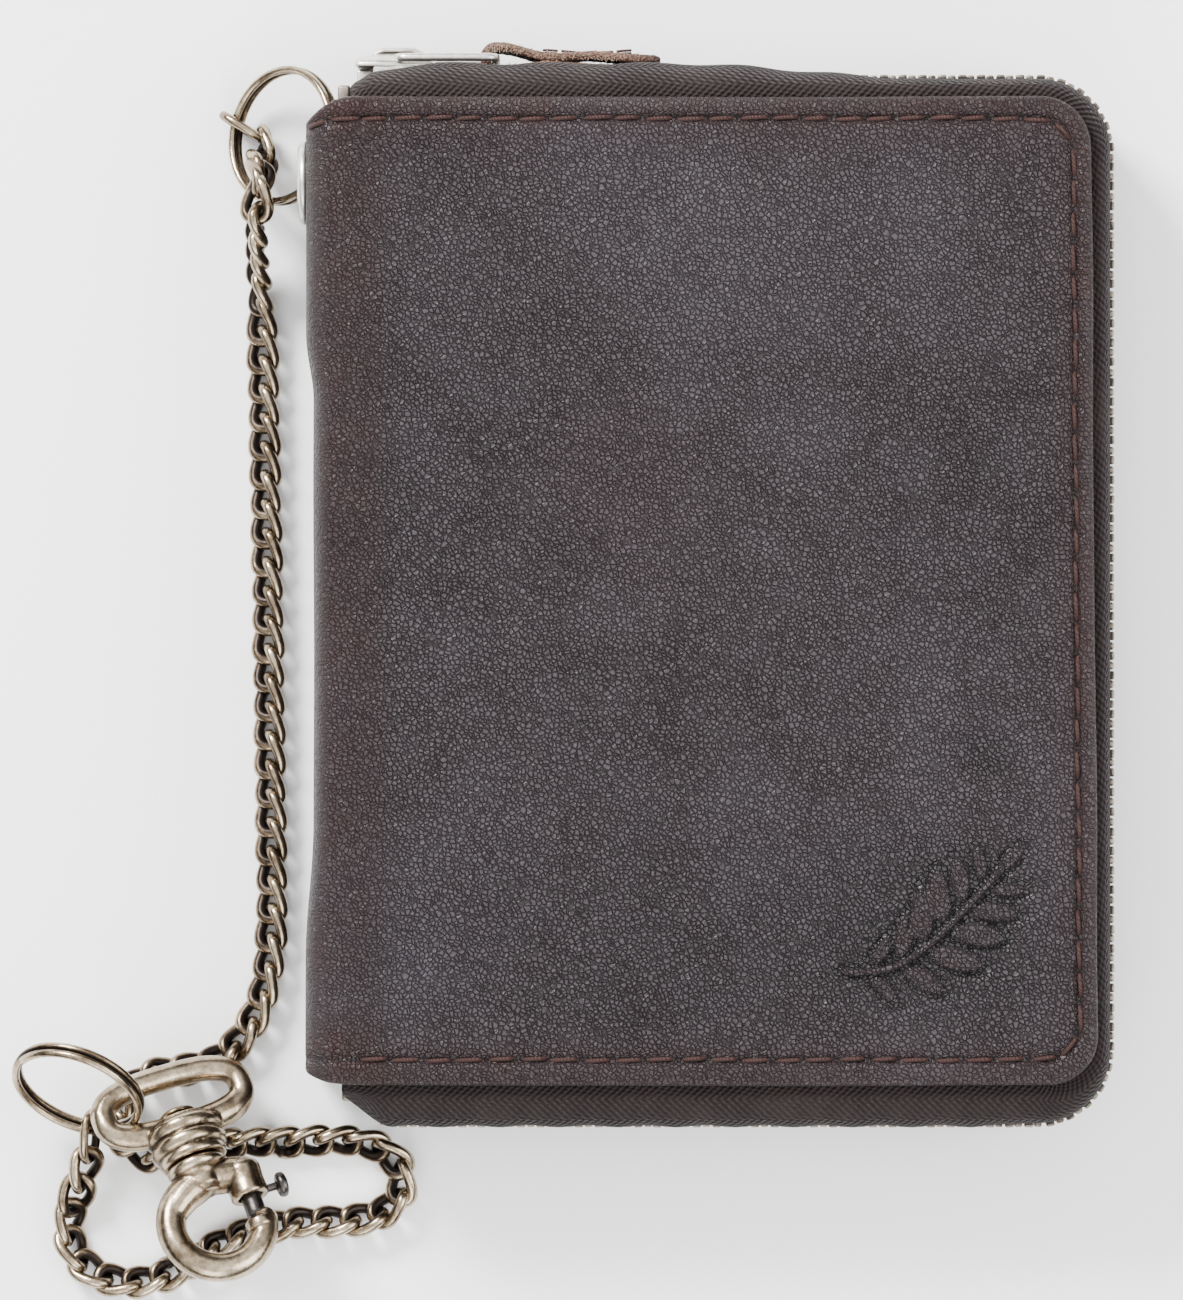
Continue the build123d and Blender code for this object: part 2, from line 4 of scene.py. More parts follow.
import bmesh
import bpy
import numpy as np
from mathutils import Matrix, Vector, noise
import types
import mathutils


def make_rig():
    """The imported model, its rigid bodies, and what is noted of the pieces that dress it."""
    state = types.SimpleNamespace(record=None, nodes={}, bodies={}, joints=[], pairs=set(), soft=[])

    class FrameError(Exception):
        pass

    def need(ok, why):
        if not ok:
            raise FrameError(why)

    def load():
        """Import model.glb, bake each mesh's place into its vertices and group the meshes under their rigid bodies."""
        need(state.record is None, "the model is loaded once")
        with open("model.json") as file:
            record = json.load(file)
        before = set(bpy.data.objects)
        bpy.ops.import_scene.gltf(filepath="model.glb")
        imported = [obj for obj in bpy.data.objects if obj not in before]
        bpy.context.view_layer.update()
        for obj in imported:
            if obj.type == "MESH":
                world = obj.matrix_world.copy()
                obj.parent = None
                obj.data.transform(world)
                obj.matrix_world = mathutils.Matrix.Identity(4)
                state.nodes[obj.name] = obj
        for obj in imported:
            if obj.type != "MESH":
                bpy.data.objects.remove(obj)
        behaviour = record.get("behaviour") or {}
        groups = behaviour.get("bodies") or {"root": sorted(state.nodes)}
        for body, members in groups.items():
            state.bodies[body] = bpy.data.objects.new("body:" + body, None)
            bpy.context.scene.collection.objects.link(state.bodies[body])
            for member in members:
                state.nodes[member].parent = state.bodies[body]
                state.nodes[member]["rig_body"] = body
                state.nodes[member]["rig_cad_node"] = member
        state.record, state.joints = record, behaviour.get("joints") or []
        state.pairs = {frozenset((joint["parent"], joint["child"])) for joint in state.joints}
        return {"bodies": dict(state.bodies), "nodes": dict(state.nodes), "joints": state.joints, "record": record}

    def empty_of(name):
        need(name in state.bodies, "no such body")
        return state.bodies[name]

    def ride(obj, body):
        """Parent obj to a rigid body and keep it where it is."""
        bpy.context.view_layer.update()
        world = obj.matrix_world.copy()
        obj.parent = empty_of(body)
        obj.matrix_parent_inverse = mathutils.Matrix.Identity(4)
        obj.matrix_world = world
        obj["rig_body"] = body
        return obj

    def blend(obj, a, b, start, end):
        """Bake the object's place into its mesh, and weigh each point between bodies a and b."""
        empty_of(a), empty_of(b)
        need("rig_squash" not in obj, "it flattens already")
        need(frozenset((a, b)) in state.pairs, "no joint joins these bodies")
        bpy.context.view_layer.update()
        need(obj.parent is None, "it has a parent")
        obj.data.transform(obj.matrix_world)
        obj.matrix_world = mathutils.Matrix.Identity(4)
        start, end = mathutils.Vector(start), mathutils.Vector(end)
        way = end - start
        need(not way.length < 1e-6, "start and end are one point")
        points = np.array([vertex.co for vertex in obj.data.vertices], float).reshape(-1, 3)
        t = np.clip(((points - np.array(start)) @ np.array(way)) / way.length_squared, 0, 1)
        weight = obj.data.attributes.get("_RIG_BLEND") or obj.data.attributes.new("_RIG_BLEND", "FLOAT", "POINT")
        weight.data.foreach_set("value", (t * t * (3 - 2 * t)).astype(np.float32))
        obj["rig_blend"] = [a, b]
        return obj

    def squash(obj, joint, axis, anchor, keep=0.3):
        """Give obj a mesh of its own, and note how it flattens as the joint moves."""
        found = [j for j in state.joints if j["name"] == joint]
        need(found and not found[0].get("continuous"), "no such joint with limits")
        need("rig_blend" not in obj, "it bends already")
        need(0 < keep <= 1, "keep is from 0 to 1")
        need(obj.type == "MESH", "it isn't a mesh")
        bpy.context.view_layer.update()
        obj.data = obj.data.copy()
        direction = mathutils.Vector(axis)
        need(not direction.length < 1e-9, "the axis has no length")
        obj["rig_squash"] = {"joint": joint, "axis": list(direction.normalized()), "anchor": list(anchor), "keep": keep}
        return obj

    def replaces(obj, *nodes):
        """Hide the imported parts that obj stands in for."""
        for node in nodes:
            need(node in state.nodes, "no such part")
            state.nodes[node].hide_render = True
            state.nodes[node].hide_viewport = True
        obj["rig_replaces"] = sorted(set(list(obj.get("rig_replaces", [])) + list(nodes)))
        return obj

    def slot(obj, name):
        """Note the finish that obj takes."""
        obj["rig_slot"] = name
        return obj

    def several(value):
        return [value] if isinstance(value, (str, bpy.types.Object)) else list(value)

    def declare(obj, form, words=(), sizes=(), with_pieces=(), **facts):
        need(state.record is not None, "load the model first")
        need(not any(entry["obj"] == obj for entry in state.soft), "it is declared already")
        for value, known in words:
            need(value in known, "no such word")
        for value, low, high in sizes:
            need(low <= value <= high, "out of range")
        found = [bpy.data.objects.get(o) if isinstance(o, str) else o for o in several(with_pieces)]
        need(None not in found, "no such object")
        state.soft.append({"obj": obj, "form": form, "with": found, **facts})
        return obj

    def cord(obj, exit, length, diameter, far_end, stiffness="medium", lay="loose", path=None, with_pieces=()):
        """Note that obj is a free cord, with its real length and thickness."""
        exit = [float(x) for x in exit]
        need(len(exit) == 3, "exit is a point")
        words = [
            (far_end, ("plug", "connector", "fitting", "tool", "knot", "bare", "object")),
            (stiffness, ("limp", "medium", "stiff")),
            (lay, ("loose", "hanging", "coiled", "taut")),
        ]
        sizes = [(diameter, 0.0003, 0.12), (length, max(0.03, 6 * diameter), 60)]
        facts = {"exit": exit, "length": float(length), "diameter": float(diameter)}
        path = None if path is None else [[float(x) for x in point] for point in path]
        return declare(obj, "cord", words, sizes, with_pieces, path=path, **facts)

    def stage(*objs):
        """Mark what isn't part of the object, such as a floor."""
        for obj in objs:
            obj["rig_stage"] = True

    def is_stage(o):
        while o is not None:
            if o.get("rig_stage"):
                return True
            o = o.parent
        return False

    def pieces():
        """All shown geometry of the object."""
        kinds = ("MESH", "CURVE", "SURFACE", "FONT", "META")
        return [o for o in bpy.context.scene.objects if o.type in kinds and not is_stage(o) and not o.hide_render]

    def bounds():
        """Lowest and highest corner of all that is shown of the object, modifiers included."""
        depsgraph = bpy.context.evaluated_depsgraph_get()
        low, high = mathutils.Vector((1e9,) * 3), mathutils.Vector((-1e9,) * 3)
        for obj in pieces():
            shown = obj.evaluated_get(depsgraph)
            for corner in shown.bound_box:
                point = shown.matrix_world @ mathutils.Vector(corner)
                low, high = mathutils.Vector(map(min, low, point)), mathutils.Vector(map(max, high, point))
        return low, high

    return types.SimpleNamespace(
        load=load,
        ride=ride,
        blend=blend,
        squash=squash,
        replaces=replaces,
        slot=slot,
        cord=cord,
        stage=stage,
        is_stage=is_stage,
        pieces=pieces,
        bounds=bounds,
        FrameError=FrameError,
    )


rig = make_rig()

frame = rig.load()
BOX0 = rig.bounds()
OX, OY = 0.265, -2.175          # the CAD frame's shift, mm
MM = 0.001
RNG = np.random.default_rng(7)


def M(p):
    """Model millimetres to the row frame in metres."""
    return ((p[0] + OX) * MM, (p[1] + OY) * MM, p[2] * MM)


def MA(a):
    a = np.asarray(a, float).copy()
    a[..., 0] += OX
    a[..., 1] += OY
    return a * MM


# ------------------------------------------------------------------ camera, light, floor
cam_d = bpy.data.cameras.new("camera")
cam = bpy.data.objects.new("camera", cam_d)
bpy.context.scene.collection.objects.link(cam)
CAM_H = 1.1
VIEW_H = 0.15476
cam_d.sensor_fit = "VERTICAL"
cam_d.sensor_height = 24.0
cam_d.lens = 24.0 * (CAM_H - 0.014) / VIEW_H
cam.location = (-14.226 * MM + OX * MM, -5.476 * MM + OY * MM, CAM_H)
cam.rotation_euler = (0, 0, 0)
cam_d.clip_start = 0.01
cam_d.clip_end = 20
bpy.context.scene.camera = cam


def area(name, loc, size, power, target=(0, 0, 0.01), color=(1, 1, 1), size_y=None):
    d = bpy.data.lights.new(name, "AREA")
    d.energy = power
    d.size = size
    if size_y:
        d.shape = "RECTANGLE"
        d.size_y = size_y
    d.color = color
    o = bpy.data.objects.new(name, d)
    bpy.context.scene.collection.objects.link(o)
    o.location = loc
    o.rotation_euler = (Vector(target) - Vector(loc)).to_track_quat("-Z", "Y").to_euler()
    return o


area("key", (-0.5, 0.62, 0.6), 0.3, 30.0)
area("fill", (0.65, -0.1, 0.7), 0.6, 9.0)
area("front", (-0.1, -0.7, 0.55), 0.5, 5.0)
world = bpy.data.worlds.new("studio")
bpy.context.scene.world = world
world.use_nodes = True
bg = world.node_tree.nodes["Background"]
bg.inputs[1].default_value = 2.0
w_tc = world.node_tree.nodes.new("ShaderNodeTexCoord")
w_sep = world.node_tree.nodes.new("ShaderNodeSeparateXYZ")
w_ramp = world.node_tree.nodes.new("ShaderNodeValToRGB")
world.node_tree.links.new(w_tc.outputs["Generated"], w_sep.inputs[0])
world.node_tree.links.new(w_sep.outputs[2], w_ramp.inputs[0])
world.node_tree.links.new(w_ramp.outputs[0], bg.inputs[0])
for (p_, c_), e_ in zip(((0.0, 0.04), (0.38, 0.10), (0.62, 0.9), (1.0, 1.15)), [w_ramp.color_ramp.elements[0], w_ramp.color_ramp.elements.new(0.4), w_ramp.color_ramp.elements.new(0.6), w_ramp.color_ramp.elements[-1]]):
    e_.position = p_
    e_.color = (c_, c_, c_, 1)


# ------------------------------------------------------------------ materials
class Mat:
    def __init__(self, name):
        self.m = bpy.data.materials.new(name)
        self.m.use_nodes = True
        self.nt = self.m.node_tree
        self.bsdf = self.nt.nodes["Principled BSDF"]
        self.out = self.nt.nodes["Material Output"]

    def n(self, t, **kw):
        node = self.nt.nodes.new(t)
        for k, v in kw.items():
            setattr(node, k, v)
        return node

    def link(self, a, b):
        self.nt.links.new(a, b)

    def set(self, **kw):
        for k, v in kw.items():
            self.bsdf.inputs[k.replace("_", " ")].default_value = v

    def coords(self):
        if not hasattr(self, "_tc"):
            self._tc = self.n("ShaderNodeTexCoord").outputs["Object"]
        return self._tc

    def noise(self, scale, detail=4.0, rough=0.55, vec=None, dist=0.0):
        x = self.n("ShaderNodeTexNoise")
        x.inputs["Scale"].default_value = scale
        x.inputs["Detail"].default_value = detail
        x.inputs["Roughness"].default_value = rough
        x.inputs["Distortion"].default_value = dist
        self.link(vec or self.coords(), x.inputs["Vector"])
        return x.outputs["Fac"]

    def voro(self, scale, feature="F1", vec=None, rand=1.0, out="Distance"):
        x = self.n("ShaderNodeTexVoronoi", feature=feature)
        x.inputs["Scale"].default_value = scale
        x.inputs["Randomness"].default_value = rand
        self.link(vec or self.coords(), x.inputs["Vector"])
        return x.outputs[out]

    def math(self, op, a, b=0.5, c=None, clamp=False):
        x = self.n("ShaderNodeMath", operation=op, use_clamp=clamp)
        for i, v in enumerate((a, b, c)):
            if v is None:
                continue
            if isinstance(v, (int, float)):
                x.inputs[i].default_value = v
            else:
                self.link(v, x.inputs[i])
        return x.outputs[0]

    def ramp(self, fac, stops, interp="LINEAR"):
        x = self.n("ShaderNodeValToRGB")
        x.color_ramp.interpolation = interp
        el = x.color_ramp.elements
        while len(el) < len(stops):
            el.new(0.5)
        for e, (p, c) in zip(el, stops):
            e.position = p
            e.color = (*c, 1) if len(c) == 3 else c
        self.link(fac, x.inputs[0])
        return x.outputs[0]

    def mix(self, fac, a, b, blend="MIX"):
        x = self.n("ShaderNodeMix", data_type="RGBA", blend_type=blend)
        for sock, v in ((x.inputs[0], fac), (x.inputs[6], a), (x.inputs[7], b)):
            if isinstance(v, (int, float)):
                sock.default_value = v
            elif isinstance(v, tuple):
                sock.default_value = (*v, 1)
            else:
                self.link(v, sock)
        return x.outputs[2]

    def attr(self, name):
        x = self.n("ShaderNodeAttribute", attribute_name=name)
        return x.outputs["Fac"]

    def uv(self):
        return self.n("ShaderNodeUVMap").outputs[0]

    def color(self, c):
        self.link(c, self.bsdf.inputs["Base Color"])

    def rough(self, r):
        self.link(r, self.bsdf.inputs["Roughness"])

    def metal(self, r):
        self.link(r, self.bsdf.inputs["Metallic"])

    def bump(self, height, dist, strength=1.0, prev=None):
        x = self.n("ShaderNodeBump")
        x.inputs["Strength"].default_value = strength
        x.inputs["Distance"].default_value = dist
        self.link(height, x.inputs["Height"])
        if prev is not None:
            self.link(prev, x.inputs["Normal"])
        self.link(x.outputs[0], self.bsdf.inputs["Normal"])
        return x.outputs[0]


def leather(name, dark, mid, cool, rust, grain=1350.0, spec=0.5, rough=(0.36, 0.56), wear="wear", crack=1.0):
    m = Mat(name)
    tc = m.coords()
    warp = m.n("ShaderNodeTexNoise")
    warp.inputs["Scale"].default_value = 700
    warp.inputs["Detail"].default_value = 3
    m.link(tc, warp.inputs["Vector"])
    add = m.n("ShaderNodeVectorMath", operation="MULTIPLY_ADD")
    m.link(warp.outputs["Color"], add.inputs[0])
    add.inputs[1].default_value = (0.00045, 0.00045, 0.00045)
    m.link(tc, add.inputs[2])
    v = add.outputs[0]
    cell = m.voro(grain, "DISTANCE_TO_EDGE", vec=v)
    cell2 = m.voro(grain * 2.1, "DISTANCE_TO_EDGE", vec=v)
    creases = m.voro(grain * 0.27, "DISTANCE_TO_EDGE", vec=v)
    pits = m.noise(grain * 3.0, 3, 0.6)
    big = m.noise(34, 5, 0.6)
    mid_n = m.noise(150, 4, 0.6)
    fine = m.noise(900, 3, 0.6)
    w = m.attr(wear)
    base = m.ramp(big, [(0.30, dark), (0.52, mid), (0.72, cool)])
    base = m.mix(m.math("MULTIPLY", m.math("SUBTRACT", mid_n, 0.42, clamp=True), 1.6, clamp=True), base, cool)
    # rust tone where the leather is rubbed, and on the raised emblem a painted highlight
    rustf = m.math("MULTIPLY", w, m.math("MULTIPLY_ADD", mid_n, 1.6, -0.25, clamp=True), clamp=True)
    base = m.mix(rustf, base, rust)
    # groove marks the grain's crease lines; the colour is darkened there as painted shade, and the same mask makes them
    # rougher below
    groove = m.math("SUBTRACT", 1.0, m.math("MULTIPLY", cell, 7.5, clamp=True), clamp=True)
    base = m.mix(m.math("MULTIPLY", groove, m.math("SUBTRACT", 0.85, m.math("MULTIPLY", w, 0.42), clamp=True)), base, tuple(c * 0.28 for c in dark))
    # darker where the 'dark' attribute is high: on the hide this is painted shade in the emblem's grooves and basin and
    # along the sunken stitch lines, plus a real stain
    dk = m.attr("dark")
    base = m.mix(m.math("MULTIPLY", dk, 1.0, clamp=True), base, tuple(c * 0.22 for c in dark))
    # painted highlight: the tops of the grain cells are coloured lighter, less so where the leather is rubbed
    painted_grain_highlight = m.math("MULTIPLY", m.math("MULTIPLY", m.math("SUBTRACT", cell, 0.10, clamp=True), 3.0, clamp=True), m.math("MULTIPLY_ADD", fine, 0.9, 0.1, clamp=True), clamp=True)
    painted_grain_highlight = m.math("MULTIPLY", painted_grain_highlight, m.math("SUBTRACT", 1.0, m.math("MULTIPLY", w, 0.85), clamp=True), clamp=True)
    base = m.mix(painted_grain_highlight, base, tuple(min(1, c * 1.65) for c in cool))
    m.color(base)
    r = m.math("MULTIPLY_ADD", mid_n, rough[1] - rough[0], rough[0])
    r = m.math("ADD", r, m.math("MULTIPLY", groove, 0.22), clamp=True)
    m.rough(r)
    h = m.math("MULTIPLY", m.math("MINIMUM", cell, 0.16), 4.6)
    h = m.math("ADD", h, m.math("MULTIPLY", m.math("MINIMUM", cell2, 0.12), 0.5))
    h = m.math("ADD", h, m.math("MULTIPLY", m.math("MINIMUM", creases, 0.04), 5.0 * crack))
    h = m.math("ADD", h, m.math("MULTIPLY", pits, 0.10))
    h = m.math("ADD", h, m.math("MULTIPLY", mid_n, 0.5))
    m.bump(h, 0.00017, 1.0)
    m.set(Specular_IOR_Level=spec)
    return m


L_WALLET = leather("wallet_leather", (0.0080, 0.0047, 0.0054), (0.0168, 0.0117, 0.0137), (0.0275, 0.0230, 0.0275), (0.0185, 0.0068, 0.0062), grain=1850.0, spec=0.25, rough=(0.30, 0.46))
L_TAB = leather("tab_leather", (0.016, 0.007, 0.005), (0.055, 0.024, 0.015), (0.10, 0.055, 0.037), (0.20, 0.118, 0.082), grain=1500, spec=0.25, rough=(0.5, 0.75))
L_POCKET = leather("pocket_leather", (0.008, 0.0045, 0.0035), (0.0165, 0.0092, 0.007), (0.024, 0.015, 0.0115), (0.028, 0.012, 0.008), grain=1700, spec=0.22)
L_LINING = leather("lining_leather", (0.010, 0.008, 0.008), (0.018, 0.015, 0.0155), (0.027, 0.023, 0.024), (0.03, 0.017, 0.013), grain=2000, spec=0.3, crack=0.3)


def suede(name, lo, hi):
    m = Mat(name)
    f = m.noise(2600, 4, 0.75)
    g = m.noise(300, 4, 0.6)
    c = m.mix(g, lo, hi)
    c = m.mix(m.math("MULTIPLY", m.math("SUBTRACT", f, 0.5, clamp=True), 1.8, clamp=True), c, tuple(min(1, x * 1.7) for x in hi))
    m.color(c)
    m.set(Roughness=0.92, Specular_IOR_Level=0.2, Sheen_Weight=0.25, Sheen_Roughness=0.5)
    m.bump(m.math("ADD", f, m.math("MULTIPLY", g, 0.6)), 0.0003, 0.9)
    return m


SUEDE = suede("raw_suede_edge", (0.16, 0.085, 0.05), (0.36, 0.24, 0.165))


def tape_mat():
    m = Mat("zip_tape_herringbone")
    uvn = m.uv()
    sep = m.n("ShaderNodeSeparateXYZ")
    m.link(uvn, sep.inputs[0])
    u, v = sep.outputs[0], sep.outputs[1]
    # herringbone: diagonal ribs that turn every 2.4 mm of width
    zig = m.math("PINGPONG", m.math("MULTIPLY", v, 1.0), 0.0024)
    ph = m.math("MULTIPLY", m.math("ADD", u, m.math("MULTIPLY", zig, 1.1)), 2 * math.pi / 0.00088)
    rib = m.math("MULTIPLY_ADD", m.math("SINE", ph, 0.0), 0.5, 0.5)
    ph2 = m.math("MULTIPLY", m.math("ADD", v, m.math("MULTIPLY", u, 0.15)), 2 * math.pi / 0.00045)
    rib2 = m.math("MULTIPLY_ADD", m.math("SINE", ph2, 0.0), 0.5, 0.5)
    fuzz = m.noise(5200, 3, 0.7)
    big = m.noise(120, 4, 0.6)
    c = m.mix(rib, (0.0035, 0.0024, 0.0024), (0.026, 0.0175, 0.0175))
    c = m.mix(m.math("MULTIPLY", rib2, 0.35), c, (0.013, 0.0085, 0.0085))
    c = m.mix(m.math("MULTIPLY", m.math("SUBTRACT", big, 0.45, clamp=True), 1.4, clamp=True), c, (0.030, 0.021, 0.0205))
    c = m.mix(m.math("MULTIPLY", m.math("SUBTRACT", fuzz, 0.55, clamp=True), 2.0, clamp=True), c, (0.055, 0.042, 0.040))
    m.color(c)
    m.set(Roughness=0.86, Specular_IOR_Level=0.15, Sheen_Weight=0.05, Sheen_Roughness=0.4)
    h = m.math("ADD", rib, m.math("MULTIPLY", rib2, 0.5))
    h = m.math("ADD", h, m.math("MULTIPLY", fuzz, 0.5))
    m.bump(h, 0.00030, 1.0)
    return m


TAPE = tape_mat()


def metal(name, bright, mid, dark, rough=(0.2, 0.42), wear_scale=260, dark_amt=1.0, recess="recess", m_lo=0.75):
    m = Mat(name)
    a = m.noise(wear_scale, 5, 0.62)
    b = m.noise(wear_scale * 5, 4, 0.6)
    s = m.noise(wear_scale * 22, 2, 0.6)
    r = m.attr(recess)
    k = m.math("MULTIPLY_ADD", a, 0.9, m.math("MULTIPLY", b, 0.35))
    k = m.math("SUBTRACT", k, m.math("MULTIPLY", r, 0.9 * dark_amt))
    c = m.ramp(k, [(0.18, dark), (0.47, mid), (0.80, bright)])
    m.color(c)
    rr = m.math("MULTIPLY_ADD", b, rough[1] - rough[0], rough[0])
    rr = m.math("ADD", rr, m.math("MULTIPLY", r, 0.18), clamp=True)
    m.rough(rr)
    m.metal(m.math("SUBTRACT", 1.0, m.math("MULTIPLY", r, 1 - m_lo), clamp=True))
    h = m.math("ADD", m.math("MULTIPLY", b, 0.6), m.math("MULTIPLY", s, 0.35))
    m.bump(h, 0.00006, 0.6)
    return m


BRASS = metal("antique_brass", (0.47, 0.385, 0.275), (0.150, 0.108, 0.068), (0.014, 0.009, 0.0065), rough=(0.17, 0.30))
NICKEL = metal("worn_nickel", (0.78, 0.75, 0.70), (0.55, 0.52, 0.48), (0.16, 0.14, 0.12), rough=(0.24, 0.44), wear_scale=500)
TEETH = metal("dark_brass_teeth", (0.34, 0.26, 0.18), (0.17, 0.12, 0.085), (0.035, 0.025, 0.02), rough=(0.3, 0.5), wear_scale=700)
BLACK = metal("blackened_steel", (0.09, 0.082, 0.076), (0.03, 0.027, 0.025), (0.008, 0.007, 0.006), rough=(0.22, 0.4), wear_scale=500)


def thread_mat(name, a, b):
    m = Mat(name)
    w = m.n("ShaderNodeTexWave", wave_type="BANDS", bands_direction="DIAGONAL")
    w.inputs["Scale"].default_value = 1500
    w.inputs["Distortion"].default_value = 1.0
    m.link(m.coords(), w.inputs["Vector"])
    n = m.noise(500, 3)
    c = m.mix(n, a, b)
    c = m.mix(m.math("MULTIPLY", w.outputs["Fac"], 0.5), c, tuple(x * 0.35 for x in a))
    m.color(c)
    m.set(Roughness=0.7, Specular_IOR_Level=0.3)
    m.bump(w.outputs["Fac"], 0.00008, 0.8)
    return m


THREAD = thread_mat("rust_thread", (0.018, 0.006, 0.0048), (0.048, 0.0175, 0.0135))
THREAD_D = thread_mat("dark_thread", (0.012, 0.008, 0.008), (0.03, 0.02, 0.018))


def board_mat():
    m = Mat("stiffener_board")
    f = m.noise(1200, 4, 0.7)
    m.color(m.mix(f, (0.10, 0.085, 0.07), (0.17, 0.15, 0.125)))
    m.set(Roughness=0.85)
    m.bump(f, 0.0001, 0.5)
    return m


BOARD = board_mat()


def film_mat():
    m = Mat("clear_film")
    f = m.noise(90, 3, 0.5)
    m.color(m.mix(f, (0.82, 0.85, 0.86), (0.9, 0.92, 0.92)))
    m.set(Roughness=0.12, Specular_IOR_Level=0.5, Alpha=0.24)
    m.bump(f, 0.0004, 0.4)
    return m


FILM = film_mat()


def floor_mat():
    m = Mat("floor")
    m.bsdf.inputs["Base Color"].default_value = (0.93, 0.93, 0.93, 1)
    m.set(Roughness=0.75, Specular_IOR_Level=0.15)
    return m


bpy.ops.mesh.primitive_plane_add(size=6, location=(0, 0, -0.00005))
floor = bpy.context.object
floor.name = "floor"
floor.data.materials.append(floor_mat().m)
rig.stage(floor)


# ------------------------------------------------------------------ mesh helpers
def make(name, verts, faces, mat, slot, smooth=True, uvs=None, attrs=None):
    """A mesh object from arrays in model millimetres."""
    me = bpy.data.meshes.new(name)
    me.from_pydata([tuple(v) for v in MA(verts)], [], [tuple(int(i) for i in f) for f in faces])
    me.materials.append(mat.m)
    if smooth:
        me.polygons.foreach_set("use_smooth", [True] * len(me.polygons))
    if uvs is not None:
        lay = me.uv_layers.new(name="UVMap")
        loops = np.zeros(len(me.loops), int)
        me.loops.foreach_get("vertex_index", loops)
        lay.data.foreach_set("uv", np.asarray(uvs, float)[loops].ravel())
    for k, v in (attrs or {}).items():
        at = me.attributes.new(k, "FLOAT", "POINT")
        at.data.foreach_set("value", np.asarray(v, np.float32))
    me.update()
    o = bpy.data.objects.new(name, me)
    bpy.context.scene.collection.objects.link(o)
    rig.slot(o, slot)
    return o


def grid_faces(nu, nv, closed_u=False, closed_v=False, off=0, flip=False):
    f = []
    for i in range(nu if closed_u else nu - 1):
        i2 = (i + 1) % nu
        for j in range(nv if closed_v else nv - 1):
            j2 = (j + 1) % nv
            q = (off + i * nv + j, off + i2 * nv + j, off + i2 * nv + j2, off + i * nv + j2)
            f.append(q[::-1] if flip else q)
    return f


def fnoise(p, scale, seed=0.0, octaves=3):
    """Smooth noise from -1 to 1 at points p (mm), features about 1/scale mm."""
    out = np.empty(len(p))
    for i, q in enumerate(p):
        out[i] = noise.fractal(Vector((q[0] * scale + seed, q[1] * scale - seed, q[2] * scale + 2 * seed)), 0.9, 2.0, octaves)
    return out


def frames(path, closed=False, up0=None):
    """Rotation-minimising frames along a path of points."""
    P = np.asarray(path, float)
    if closed:
        T = np.roll(P, -1, 0) - np.roll(P, 1, 0)
    else:
        T = np.gradient(P, axis=0)
    T /= np.linalg.norm(T, axis=1)[:, None]
    if up0 is None:
        up0 = np.array([0, 0, 1.0]) if abs(T[0, 2]) < 0.9 else np.array([1.0, 0, 0])
    U = np.zeros_like(P)
    u = up0 - T[0] * (up0 @ T[0])
    u /= np.linalg.norm(u)
    U[0] = u
    for i in range(1, len(P)):
        u = u - T[i] * (u @ T[i])
        u /= np.linalg.norm(u)
        U[i] = u
    return P, T, U, np.cross(T, U)


def tube(path, r, n=16, closed=False, caps=True, up0=None, squash=1.0, uvscale=None, round_ends=False):
    """Verts and faces of a tube along path. r is a number or one per point."""
    P, T, U, W = frames(path, closed, up0)
    r = np.broadcast_to(np.asarray(r, float), (len(P),)).copy()
    if closed:
        # spread the closing twist
        u_end = U[-1] - T[0] * (U[-1] @ T[0])
        u_end /= np.linalg.norm(u_end)
        ang = math.atan2(np.cross(u_end, U[0]) @ T[0], u_end @ U[0])
        a = np.linspace(0, ang, len(P), endpoint=False)
        U, W = U * np.cos(a)[:, None] + W * np.sin(a)[:, None], W * np.cos(a)[:, None] - U * np.sin(a)[:, None]
    th = np.linspace(0, 2 * np.pi, n, endpoint=False)
    if round_ends and not closed:
        m = 5
        k = np.linspace(0, 1, m + 1)[:-1]
        pa = [P[0] - T[0] * r[0] * math.cos(math.pi / 2 * x) for x in k]
        pb = [P[-1] + T[-1] * r[-1] * math.sin(math.pi / 2 * x) for x in np.linspace(0, 1, m + 1)[1:]]
        ra = [r[0] * math.sin(math.pi / 2 * x) + 1e-4 for x in k]
        rb = [r[-1] * math.cos(math.pi / 2 * x) + 1e-4 for x in np.linspace(0, 1, m + 1)[1:]]
        P = np.vstack([pa, P, pb])
        U = np.vstack([[U[0]] * m, U, [U[-1]] * m])
        W = np.vstack([[W[0]] * m, W, [W[-1]] * m])
        r = np.concatenate([ra, r, rb])
    V = P[:, None, :] + r[:, None, None] * (np.cos(th)[None, :, None] * U[:, None, :] + squash * np.sin(th)[None, :, None] * W[:, None, :])
    N = len(P)
    faces = grid_faces(N, n, closed_u=closed, closed_v=True, flip=True)
    V = V.reshape(-1, 3)
    if not closed and caps:
        faces.append(tuple(range(n))[::1])
        faces.append(tuple((N - 1) * n + i for i in range(n))[::-1])
    return V, faces


class Batch:
    """Collects many small closed shells into one mesh."""

    def __init__(self):
        self.v, self.f, self.a, self.n = [], [], {}, 0

    def add(self, v, f, **attrs):
        v = np.asarray(v, float)
        self.v.append(v)
        self.f.extend([tuple(i + self.n for i in q) for q in f])
        for k, x in attrs.items():
            self.a.setdefault(k, []).append(np.broadcast_to(np.asarray(x, float), (len(v),)))
        self.n += len(v)

    def build(self, name, mat, slot, **kw):
        at = {k: np.concatenate(x) for k, x in self.a.items()}
        return make(name, np.vstack(self.v), self.f, mat, slot, attrs=at, **kw)


